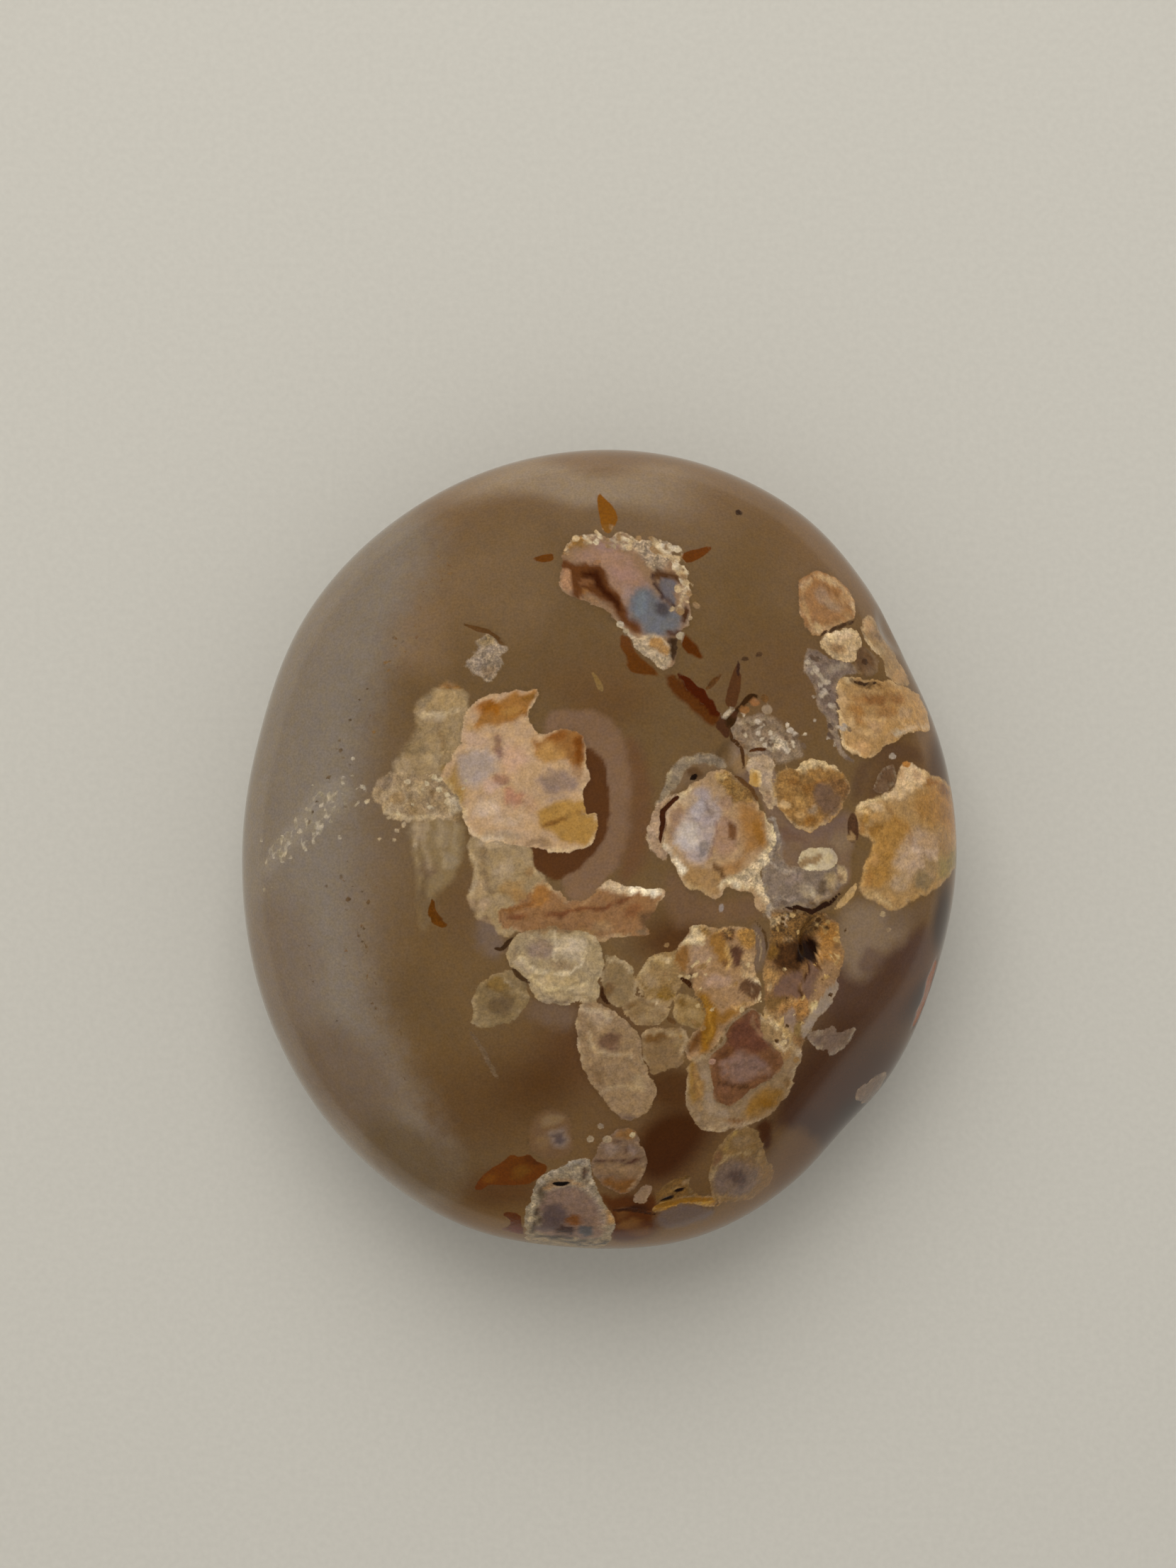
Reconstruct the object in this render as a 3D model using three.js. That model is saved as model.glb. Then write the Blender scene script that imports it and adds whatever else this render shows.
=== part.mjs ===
// A flower agate palm stone: one piece of chalcedony, ground to a rounded pebble that fills the
// palm, polished all over, and left with a small flat spot underneath that it rests on.
// Millimetres, +Z up. The origin is the middle of the stone's footprint, on the surface it rests on.
import * as THREE from "three";
import { mergeVertices } from "three/addons/utils/BufferGeometryUtils.js";

// The widest line round the stone, seen from above: angle from +X in degrees, and distance from
// the middle. The upper right and the lower right were ground flatter than the rest.
const OUTLINE = [
  [0, 27.7], [20, 27.7], [32, 27.9], [45, 29.1], [60, 30.4], [80, 31.0], [100, 30.8],
  [120, 30.1], [140, 29.2], [160, 27.9], [175, 27.7], [190, 28.0], [210, 29.0], [230, 30.2],
  [250, 31.1], [266, 31.0], [283, 31.1], [300, 30.4], [311, 29.4], [321, 29.3], [340, 27.9],
];

// The domes above and below that line.
const RIM_HEIGHT = 10.6; // the widest line's height over the table
const CROWN = 12.0; // the top dome's height over the widest line
const KEEL = 10.85; // the depth the lower dome would have without its flat spot
const DOME_POWER = 2.2; // 2 is an ellipse, and more makes the dome flatter with a rounder shoulder

// The face that was ground on the lower right shoulder, where the stone shows a plain dark window.
const WINDOW = { azimuth: -39, elevation: 40, distance: 22.7, blend: 26 };

// Hollows that the polish didn't reach, seen from above: middle, half length, half width, the turn
// of their length from +X, and depth. The basin's floor is a smooth bulge of blue chalcedony.
const HOLLOWS = [
  { x: 1.6, y: 18.2, halfLength: 5.2, halfWidth: 3.3, turn: -38, depth: 0.8 },
  { x: 16.3, y: -6.6, halfLength: 2.6, halfWidth: 2.0, turn: 80, depth: 1.3 },
  { x: 9.3, y: 7.2, halfLength: 1.5, halfWidth: 0.9, turn: 60, depth: 0.6 },
];

// A step in the upper right edge, where one small flower broke away before the polishing.
const CHIP = { angle: 37, height: 3.0, radius: 2.4, depth: 0.45 };

const MESH_STEPS = 28; // squares along each edge of the cube that the stone's mesh starts from
const TOP_GATHER = 0.72; // under 1 draws the mesh's points towards the top, where the hollows are

const radians = THREE.MathUtils.degToRad;

// Distance from the middle to the widest line, by a smooth curve through OUTLINE's points.
function outlineRadius(angle) {
  const degrees = ((THREE.MathUtils.radToDeg(angle) % 360) + 360) % 360;
  const count = OUTLINE.length;
  let at = OUTLINE.findLastIndex(([start]) => start <= degrees);
  at = at < 0 ? count - 1 : at;
  const point = (step) => {
    const index = at + step;
    const turns = Math.floor(index / count);
    const [start, radius] = OUTLINE[index - turns * count];
    return [start + 360 * turns, radius];
  };
  const [a0, r0] = point(-1);
  const [a1, r1] = point(0);
  const [a2, r2] = point(1);
  const [a3, r3] = point(2);
  const span = a2 - a1;
  const slope1 = ((r2 - r0) / (a2 - a0)) * span;
  const slope2 = ((r3 - r1) / (a3 - a1)) * span;
  const t = (degrees - a1) / span;
  return (
    (2 * t ** 3 - 3 * t ** 2 + 1) * r1 +
    (t ** 3 - 2 * t ** 2 + t) * slope1 +
    (3 * t ** 2 - 2 * t ** 3) * r2 +
    (t ** 3 - t ** 2) * slope2
  );
}

// A smooth bump: 1 at the middle, level there, and 0 from distance 1 on.
function bump(distance) {
  return distance < 1 ? (1 - distance ** 2) ** 2 : 0;
}

// How far the surface is sunk at (x, y, z), with z counted from the widest line.
function sunk(x, y, z) {
  let depth = 0;
  for (const hollow of HOLLOWS) {
    const turn = radians(hollow.turn);
    const dx = x - hollow.x;
    const dy = y - hollow.y;
    const along = (dx * Math.cos(turn) + dy * Math.sin(turn)) / hollow.halfLength;
    const across = (dy * Math.cos(turn) - dx * Math.sin(turn)) / hollow.halfWidth;
    if (z > 0) depth += hollow.depth * bump(Math.hypot(along, across));
  }
  const angle = radians(CHIP.angle);
  const reach = outlineRadius(angle);
  const chipX = x - reach * Math.cos(angle);
  const chipY = y - reach * Math.sin(angle);
  return depth + CHIP.depth * bump(Math.hypot(chipX, chipY, z - CHIP.height) / CHIP.radius);
}

// The stone's surface along a direction out of its middle, which lies on the widest line's plane.
function surfacePoint(direction) {
  const level = Math.hypot(direction.x, direction.y);
  const reach = outlineRadius(Math.atan2(direction.y, direction.x));
  const dome = direction.z > 0 ? CROWN : KEEL;
  const closeness =
    ((level / reach) ** DOME_POWER + (Math.abs(direction.z) / dome) ** DOME_POWER) **
    (1 / DOME_POWER);
  const azimuth = radians(WINDOW.azimuth);
  const elevation = radians(WINDOW.elevation);
  const facing =
    (direction.x * Math.cos(azimuth) + direction.y * Math.sin(azimuth)) * Math.cos(elevation) +
    direction.z * Math.sin(elevation);
  const window = Math.max(0, facing / WINDOW.distance);
  const distance = (closeness ** WINDOW.blend + window ** WINDOW.blend) ** (-1 / WINDOW.blend);
  const point = direction.clone().multiplyScalar(distance);
  point.setLength(point.length() - sunk(point.x, point.y, point.z));
  point.z = Math.max(point.z, -RIM_HEIGHT); // the flat spot it rests on
  return point;
}

// A point of the starting cube as a direction out of the stone's middle. The tangent keeps the
// squares alike in size, and the last step sends them to the surface evenly.
function directionOf(x, y, z) {
  const even = (value) => Math.tan((value * Math.PI) / 4);
  const ball = new THREE.Vector3(even(x), even(y), even(z)).normalize();
  const polar = 2 * Math.atan(TOP_GATHER * Math.tan(Math.acos(ball.z) / 2));
  const level = Math.hypot(ball.x, ball.y) || 1;
  const spread = (OUTLINE[0][1] * Math.sin(polar)) / level;
  return new THREE.Vector3(ball.x * spread, ball.y * spread, CROWN * Math.cos(polar)).normalize();
}

function palmStoneGeometry() {
  const cube = new THREE.BoxGeometry(2, 2, 2, MESH_STEPS, MESH_STEPS, MESH_STEPS);
  cube.deleteAttribute("normal");
  cube.deleteAttribute("uv");
  const geometry = mergeVertices(cube, 1e-4);
  const position = geometry.getAttribute("position");
  for (let i = 0; i < position.count; i += 1) {
    const direction = directionOf(position.getX(i), position.getY(i), position.getZ(i));
    const point = surfacePoint(direction);
    position.setXYZ(i, point.x, point.y, point.z + RIM_HEIGHT);
  }
  geometry.computeBoundingBox();
  const { min, max } = geometry.boundingBox;
  geometry.translate(-(min.x + max.x) / 2, -(min.y + max.y) / 2, -min.z);
  geometry.computeVertexNormals();
  return geometry;
}

function palmStone() {
  const chalcedony = new THREE.MeshStandardMaterial({
    color: "#7a6148",
    roughness: 0.12,
    metalness: 0,
  });
  const mesh = new THREE.Mesh(palmStoneGeometry(), chalcedony);
  mesh.name = "palm_stone";
  return mesh;
}

const stone = new THREE.Group();
stone.add(palmStone());

export default stone;
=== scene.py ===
"""Looks of a flower agate palm stone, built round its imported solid.

The stone is one piece of translucent brown chalcedony with plumes of paler chalcedony, the flowers,
which the polish cuts across. Its mesh follows the solid's own closed form, many times finer, and
holds the markings as attributes that one material turns into colour, gloss and relief. Drusy quartz
sits in the hollows that the polish didn't reach. Lengths are millimetres until they reach Blender.
"""

import logging
import math
from dataclasses import dataclass, replace
from enum import Enum

import bpy
import numpy as np
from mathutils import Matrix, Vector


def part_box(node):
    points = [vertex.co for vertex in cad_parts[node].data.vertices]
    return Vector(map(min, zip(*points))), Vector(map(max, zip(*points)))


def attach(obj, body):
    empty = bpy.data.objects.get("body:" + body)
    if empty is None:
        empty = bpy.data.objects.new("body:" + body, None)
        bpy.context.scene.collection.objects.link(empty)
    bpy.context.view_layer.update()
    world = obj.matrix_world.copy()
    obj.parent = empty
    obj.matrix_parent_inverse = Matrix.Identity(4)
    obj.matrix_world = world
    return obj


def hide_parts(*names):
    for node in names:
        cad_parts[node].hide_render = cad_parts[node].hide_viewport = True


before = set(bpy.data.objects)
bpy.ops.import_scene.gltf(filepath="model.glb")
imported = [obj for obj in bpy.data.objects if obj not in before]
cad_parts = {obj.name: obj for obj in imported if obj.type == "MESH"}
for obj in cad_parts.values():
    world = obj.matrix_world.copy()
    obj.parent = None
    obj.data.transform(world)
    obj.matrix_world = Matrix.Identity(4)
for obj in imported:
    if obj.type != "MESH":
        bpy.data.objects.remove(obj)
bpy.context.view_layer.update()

MM = 0.001  # one millimetre in Blender's metres
NODE = "palm_stone"  # the CAD node that the finer stone stands for

log = logging.getLogger("palm_stone")
Points = tuple[tuple[float, float], ...]


def linear(hex_colour: str) -> np.ndarray:
    """Turn an sRGB colour into linear light.

    Args:
        hex_colour: The colour as "#rrggbb".

    Returns:
        Its red, green and blue in linear light.
    """
    share = np.array([int(hex_colour[i:i + 2], 16) / 255 for i in (1, 3, 5)])
    return np.where(share <= 0.04045, share / 12.92, ((share + 0.055) / 1.055) ** 2.4)


def rgba(hex_colour: str) -> tuple[float, ...]:
    """Return an sRGB hex colour as linear red, green, blue and a full alpha."""
    return (*linear(hex_colour), 1.0)


def smooth(start: float, end: float, value: np.ndarray) -> np.ndarray:
    """Rise softly from 0 at start to 1 at end.

    Args:
        start: Where the rise begins.
        end: Where it is over, which may lie below start.
        value: The values to look up.

    Returns:
        A share from 0 to 1 for each value.
    """
    share = np.clip((value - start) / (end - start), 0, 1)
    return share * share * (3 - 2 * share)


def lattice_noise(points: np.ndarray, size: float, seed: int) -> np.ndarray:
    """Give smooth random values with bumps of a known size.

    Args:
        points: Places in millimetres, one row each.
        size: The width of one bump in millimetres.
        seed: Which of the random fields it is.

    Returns:
        A value from -1 to 1 for each place.
    """
    table = np.random.default_rng(seed).uniform(-1, 1, 4096)
    scaled = points / size
    cell = np.floor(scaled).astype(np.int64)
    part = scaled - cell
    part = part * part * (3 - 2 * part)
    total = np.zeros(len(points))
    for corner in np.ndindex(2, 2, 2):
        step = np.array(corner)
        at = cell + step
        mixed = (at[:, 0] * 73856093) ^ (at[:, 1] * 19349663) ^ (at[:, 2] * 83492791)
        weight = np.prod(np.where(step, part, 1 - part), axis=1)
        total += weight * table[mixed % len(table)]
    return total


def inside_distance(x: np.ndarray, y: np.ndarray, outline: np.ndarray) -> np.ndarray:
    """Measure how far places lie inside a closed outline.

    Args:
        x: The places' first coordinate.
        y: The places' second coordinate.
        outline: The outline's corners, one row each.

    Returns:
        The distance to the outline, which is negative outside it.
    """
    nearest = np.full(x.shape, np.inf)
    inside = np.zeros(x.shape, bool)
    for (ax, ay), (bx, by) in zip(outline, np.roll(outline, -1, axis=0)):
        run, rise = bx - ax, by - ay
        along = np.clip(((x - ax) * run + (y - ay) * rise) / (run * run + rise * rise), 0, 1)
        nearest = np.minimum(nearest, np.hypot(x - ax - along * run, y - ay - along * rise))
        if ay != by:
            inside ^= ((ay > y) != (by > y)) & (x < run * (y - ay) / rise + ax)
    return np.where(inside, nearest, -nearest)


def line_distance(x: np.ndarray, y: np.ndarray, points: Points) -> tuple[np.ndarray, np.ndarray]:
    """Measure how far places lie from a line through points.

    Args:
        x: The places' first coordinate.
        y: The places' second coordinate.
        points: The line's points in order.

    Returns:
        The distance to the line, and how far along it the nearest point is, from 0 to 1.
    """
    nearest = np.full(x.shape, np.inf)
    share = np.zeros(x.shape)
    count = len(points) - 1
    for index, ((ax, ay), (bx, by)) in enumerate(zip(points, points[1:])):
        run, rise = bx - ax, by - ay
        along = np.clip(((x - ax) * run + (y - ay) * rise) / (run * run + rise * rise), 0, 1)
        away = np.hypot(x - ax - along * run, y - ay - along * rise)
        closer = away < nearest
        nearest = np.where(closer, away, nearest)
        share = np.where(closer, (index + along) / count, share)
    return nearest, share


def cut_corners(outline: Points, rounds: int) -> np.ndarray:
    """Round a closed outline by cutting its corners.

    Args:
        outline: The corners in order.
        rounds: How many times each corner is cut.

    Returns:
        The rounded outline's points, one row each.
    """
    points = np.array(outline, float)
    for _ in range(rounds):
        after = np.roll(points, -1, axis=0)
        points = np.stack((0.75 * points + 0.25 * after, 0.25 * points + 0.75 * after), 1).reshape(-1, 2)
    return points


@dataclass(frozen=True)
class Hollow:
    """A dip that the polish didn't reach, seen from above, in millimetres and degrees."""

    x: float
    y: float
    half_length: float
    half_width: float
    turn: float
    depth: float


@dataclass(frozen=True)
class StoneForm:
    """The stone's closed form, which is the solid's own.

    Attributes:
        outline: The widest line seen from above, as an angle in degrees and a distance from the middle.
        rim_height: The widest line's height over the table.
        crown: The top dome's height over the widest line.
        keel: The depth that the lower dome would have without its flat spot.
        dome_power: 2 gives an ellipse, and more makes a flatter dome with a rounder shoulder.
        window_azimuth: The way that the ground window on the lower right shoulder faces.
        window_elevation: How steeply the window faces up.
        window_distance: The window's distance from the middle.
        window_blend: How sharply the window meets the dome.
        hollows: The dips in the top.
        chip_angle: Where a small flower broke out of the edge.
        chip_height: The chip's height over the widest line.
        chip_radius: The chip's reach.
        chip_depth: How deep the chip goes.
    """

    outline: Points = (
        (0, 27.7), (20, 27.7), (32, 27.9), (45, 29.1), (60, 30.4), (80, 31.0), (100, 30.8),
        (120, 30.1), (140, 29.2), (160, 27.9), (175, 27.7), (190, 28.0), (210, 29.0), (230, 30.2),
        (250, 31.1), (266, 31.0), (283, 31.1), (300, 30.4), (311, 29.4), (321, 29.3), (340, 27.9),
    )
    rim_height: float = 10.6
    crown: float = 12.0
    keel: float = 10.85
    dome_power: float = 2.2
    window_azimuth: float = -39
    window_elevation: float = 40
    window_distance: float = 22.7
    window_blend: float = 26
    hollows: tuple[Hollow, ...] = (
        Hollow(1.6, 18.2, 5.2, 3.3, -38, 0.8),
        Hollow(16.3, -6.6, 2.6, 2.0, 80, 1.3),
        Hollow(9.3, 7.2, 1.5, 0.9, 60, 0.6),
    )
    chip_angle: float = 37
    chip_height: float = 3.0
    chip_radius: float = 2.4
    chip_depth: float = 0.45

    def reach(self, angle: np.ndarray) -> np.ndarray:
        """Follow the widest line by a smooth curve through its points.

        Args:
            angle: Directions from +X in radians.

        Returns:
            The distance from the middle to the widest line.
        """
        table = np.array(self.outline)
        count = len(table)
        degrees = np.degrees(angle) % 360
        at = (np.searchsorted(table[:, 0], degrees, side="right") - 1) % count

        def point(step: int) -> tuple[np.ndarray, np.ndarray]:
            """Return the angle and the radius of the outline's point some steps on."""
            turns = (at + step) // count
            row = at + step - turns * count
            return table[row, 0] + 360 * turns, table[row, 1]

        (a0, r0), (a1, r1), (a2, r2), (a3, r3) = (point(step) for step in (-1, 0, 1, 2))
        span = a2 - a1
        slope1 = (r2 - r0) / (a2 - a0) * span
        slope2 = (r3 - r1) / (a3 - a1) * span
        t = (degrees - a1) / span
        return (
            (2 * t**3 - 3 * t**2 + 1) * r1 + (t**3 - 2 * t**2 + t) * slope1
            + (3 * t**2 - 2 * t**3) * r2 + (t**3 - t**2) * slope2
        )

    def sunk(self, point: np.ndarray) -> np.ndarray:
        """Find how deep the hollows and the chip are.

        Args:
            point: Places with z counted from the widest line, one row each.

        Returns:
            The depth at each place.
        """
        x, y, z = point.T
        depth = np.zeros(len(point))
        for hollow in self.hollows:
            turn = math.radians(hollow.turn)
            dx, dy = x - hollow.x, y - hollow.y
            along = (dx * math.cos(turn) + dy * math.sin(turn)) / hollow.half_length
            across = (dy * math.cos(turn) - dx * math.sin(turn)) / hollow.half_width
            near = np.clip(1 - along**2 - across**2, 0, 1) ** 2
            depth += hollow.depth * near * (z > 0)
        angle = math.radians(self.chip_angle)
        reach = float(self.reach(np.array([angle]))[0])
        chip = np.array([reach * math.cos(angle), reach * math.sin(angle), self.chip_height])
        away = np.linalg.norm(point - chip, axis=1) / self.chip_radius
        return depth + self.chip_depth * np.clip(1 - away**2, 0, 1) ** 2

    def surface(self, direction: np.ndarray) -> np.ndarray:
        """Find the stone's surface along directions out of its middle.

        Args:
            direction: Unit vectors, one row each.

        Returns:
            The surface's points, with z counted from the widest line.
        """
        x, y, z = direction.T
        reach = self.reach(np.arctan2(y, x))
        dome = np.where(z > 0, self.crown, self.keel)
        power, blend = self.dome_power, self.window_blend
        closeness = ((np.hypot(x, y) / reach) ** power + (np.abs(z) / dome) ** power) ** (1 / power)
        azimuth, elevation = math.radians(self.window_azimuth), math.radians(self.window_elevation)
        facing = (x * math.cos(azimuth) + y * math.sin(azimuth)) * math.cos(elevation)
        facing = facing + z * math.sin(elevation)
        window = np.maximum(0, facing / self.window_distance)
        distance = (closeness**blend + window**blend) ** (-1 / blend)
        point = direction * distance[:, None]
        point = point - direction * self.sunk(point)[:, None]
        point[:, 2] = np.maximum(point[:, 2], -self.rim_height)
        return point

    def top_height(self, x: np.ndarray, y: np.ndarray) -> np.ndarray:
        """Find the height of the smooth top over the table.

        Args:
            x: Places seen from above.
            y: Places seen from above.

        Returns:
            The top's height, or the widest line's height outside it.
        """
        share = np.clip(np.hypot(x, y) / self.reach(np.arctan2(y, x)), 0, 1)
        dome = self.crown * (1 - share**self.dome_power) ** (1 / self.dome_power)
        azimuth, elevation = math.radians(self.window_azimuth), math.radians(self.window_elevation)
        level = (x * math.cos(azimuth) + y * math.sin(azimuth)) * math.cos(elevation)
        window = (self.window_distance - level) / math.sin(elevation)
        return self.rim_height + np.maximum(0, np.minimum(dome, window))


class Tier(Enum):
    """How near the surface a marking lies, which says what it covers and how crisp it is."""

    VEIL = "veil"
    LOWER = "lower"
    UPPER = "upper"
    CHIP = "chip"
    CRACK = "crack"


CRISP_TIERS = (Tier.LOWER, Tier.UPPER, Tier.CHIP, Tier.CRACK)


def trace(text: str) -> Points:
    """Read a line or an outline.

    Args:
        text: Its points as "x,y x,y", in millimetres seen from above.

    Returns:
        The points.
    """
    pairs = (pair.split(",") for pair in text.split())
    return tuple((float(x), float(y)) for x, y in pairs)


@dataclass(frozen=True)
class Spot:
    """A soft oval of colour, in millimetres seen from above.

    Attributes:
        x: Its middle.
        y: Its middle.
        long: Its half length.
        wide: Its half width.
        colour: The sRGB colour that it has in the finished view.
        turn: The turn of its length from +X in degrees.
        share: How much of the colour shows in the middle.
        core: The part of the oval that has the full share.
        grit: How grainy it is, or None where it keeps what lies under it.
    """

    x: float
    y: float
    long: float
    wide: float
    colour: str
    turn: float = 0
    share: float = 0.9
    core: float = 0.5
    grit: float | None = None


@dataclass(frozen=True)
class Patch:
    """An area of one colour inside a body, in millimetres seen from above.

    Attributes:
        outline: Its corners as trace reads them, which are rounded when it is painted.
        colour: The sRGB colour that it has in the finished view.
        soft: Half the width of its blurred edge.
        grit: How grainy it is, or None where it keeps what lies under it.
        share: How much of the colour shows.
    """

    outline: str
    colour: str
    soft: float = 0.15
    grit: float | None = None
    share: float = 0.95


@dataclass(frozen=True)
class Streak:
    """A soft line of colour through points, in millimetres seen from above.

    Attributes:
        points: The line's points, as trace reads them.
        width: Half its width.
        colour: The sRGB colour that it has in the finished view.
        share: How much of the colour shows in the middle.
        grit: How grainy it is.
    """

    points: str
    width: float
    colour: str
    share: float = 0.6
    grit: float = 0.2


@dataclass(frozen=True)
class Plume:
    """A body in the stone that the polish cut across, drawn as the outline of its cut.

    Attributes:
        tier: How near the surface it lies.
        outline: The cut's corners as trace reads them, which are rounded when it is painted.
        body: The main sRGB colour that it has in the finished view.
        spots: Ovals of colour inside it.
        streaks: Lines of colour inside it.
        patches: Areas of colour inside it, under the ovals and the lines.
        skin: How strongly the outermost growth shows, which is pale and grainy.
        skin_width: The outermost growth's width in millimetres.
        skin_colour: The outermost growth's sRGB colour.
        grit: How grainy it is, from 0 for smooth chalcedony to 1 for open druse.
        rings: How strongly growth lines follow its edge.
        ragged: How far the outline wanders in millimetres.
        soft: Half the width of its blurred edge in millimetres.
        share: How much of a veil shows.
        depth: How far down the stone's side it reaches in millimetres.
    """

    tier: Tier
    outline: str
    body: str
    spots: tuple[Spot, ...] = ()
    streaks: tuple[Streak, ...] = ()
    patches: tuple[Patch, ...] = ()
    skin: float = 0.5
    skin_width: float = 0.4
    skin_colour: str = "#c9b088"
    grit: float = 0.1
    rings: float = 0.3
    ragged: float = 0.15
    soft: float = 0.06
    share: float = 0.9
    depth: float = 5.0


@dataclass(frozen=True)
class Crack:
    """A healed crack or a crisp dark line, in millimetres seen from above.

    Attributes:
        points: The line's points, as trace reads them.
        width: Half its width in the middle.
        colour: The sRGB colour that it has in the finished view.
    """

    points: str
    width: float
    colour: str


MATRIX = "#6a5234"  # translucent brown chalcedony over its own dark depth
# Wide clouds in the matrix. The greyer ones on the left and along the top edge are partly milky chalcedony
# and partly painted light shining through the thin rim; the darkest ones along the lower right rim are
# painted shade.
MATRIX_TONE_AND_PAINTED_LIGHT = (
    Spot(-24, 2, 13, 27, "#7b6a57", share=0.85, core=0.2), Spot(-18, 19, 12, 9, "#7d6750", 30, 0.8, 0.2),
    Spot(0, 29, 26, 9, "#7c6650", share=0.8, core=0.1), Spot(20, 22, 12, 8, "#786048", -40, 0.7, 0.2),
    Spot(-8, 19, 8, 6, "#7a6246", share=0.6, core=0.2), Spot(-1, -14, 10, 8, "#553922", core=0.1),
    Spot(-9, -19, 9, 8, "#583f25", 30, 0.8, 0.1), Spot(4, -23, 10, 6, "#583d26", share=0.8, core=0.1),
    Spot(-13, -25, 9, 6, "#5f4c34", 20, 0.85, 0.1), Spot(-14, -11, 4, 5, "#644e33", share=0.7, core=0.1),
    Spot(-10, -3, 3, 5, "#674d33", share=0.6, core=0.1),
    Spot(4.3, -5.8, 4.5, 2.6, "#50331a", share=0.95, core=0.2),
    Spot(13, 12, 7, 8, "#694f34", share=0.8, core=0.1), Spot(21.5, 7.2, 4.5, 3, "#5b422b", core=0.2),
    Spot(25.5, 8, 3, 3, "#70573f", share=0.7, core=0.1),
    Spot(20, 4, 2.5, 3.5, "#5b412a", share=0.8, core=0.2),
    Spot(1, 12, 6, 3.5, "#66492b", share=0.8, core=0.1), Spot(21, -10.5, 7.5, 6, "#523c2f", 40, 0.95, 0.45),
    Spot(17, -19, 9, 6.5, "#452e20", 30, 0.95, 0.4), Spot(25.5, -9, 4, 7, "#5f4632", -20, 0.7, 0.1),
    Spot(10, -25, 7, 4, "#5a442c", share=0.6, core=0.1), Spot(5.2, -17.6, 3.4, 3, "#472c16", core=0.3),
    Spot(5.8, -21.6, 4.2, 3.2, "#3d210c", share=0.95, core=0.4),
    Spot(-12.6, 15, 3.4, 4, "#7e6549", share=0.8, core=0.3), Spot(-2, 27.4, 12, 3, "#8c7a64", core=0.3),
    Spot(19, -17.6, 5, 4, "#493122", core=0.3), Spot(15.6, -20.6, 4, 3, "#432c1e", core=0.3),
    Spot(27, -5, 2.6, 4, "#35241a", core=0.3), Spot(26.6, 6.6, 2.2, 3.4, "#503a25", core=0.3),
    Spot(25, -12.4, 2.6, 4, "#36241a", -30, core=0.3), Spot(21, -19.6, 4.4, 2.4, "#331f14", 40, core=0.3),
    Spot(-5, -16.6, 5, 4, "#4c3118", share=0.7, core=0),
    Spot(23.5, -7, 3, 3, "#544036", share=0.8, core=0.3), Spot(3.6, -28.5, 3.4, 2.4, "#4f3216", core=0.3),
    Spot(-7.5, -26, 4, 3, "#4e3119", share=0.7, core=0.2),
    Spot(20, -6, 2.5, 2.2, "#6a523c", share=0.7, core=0.1),
)

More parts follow.
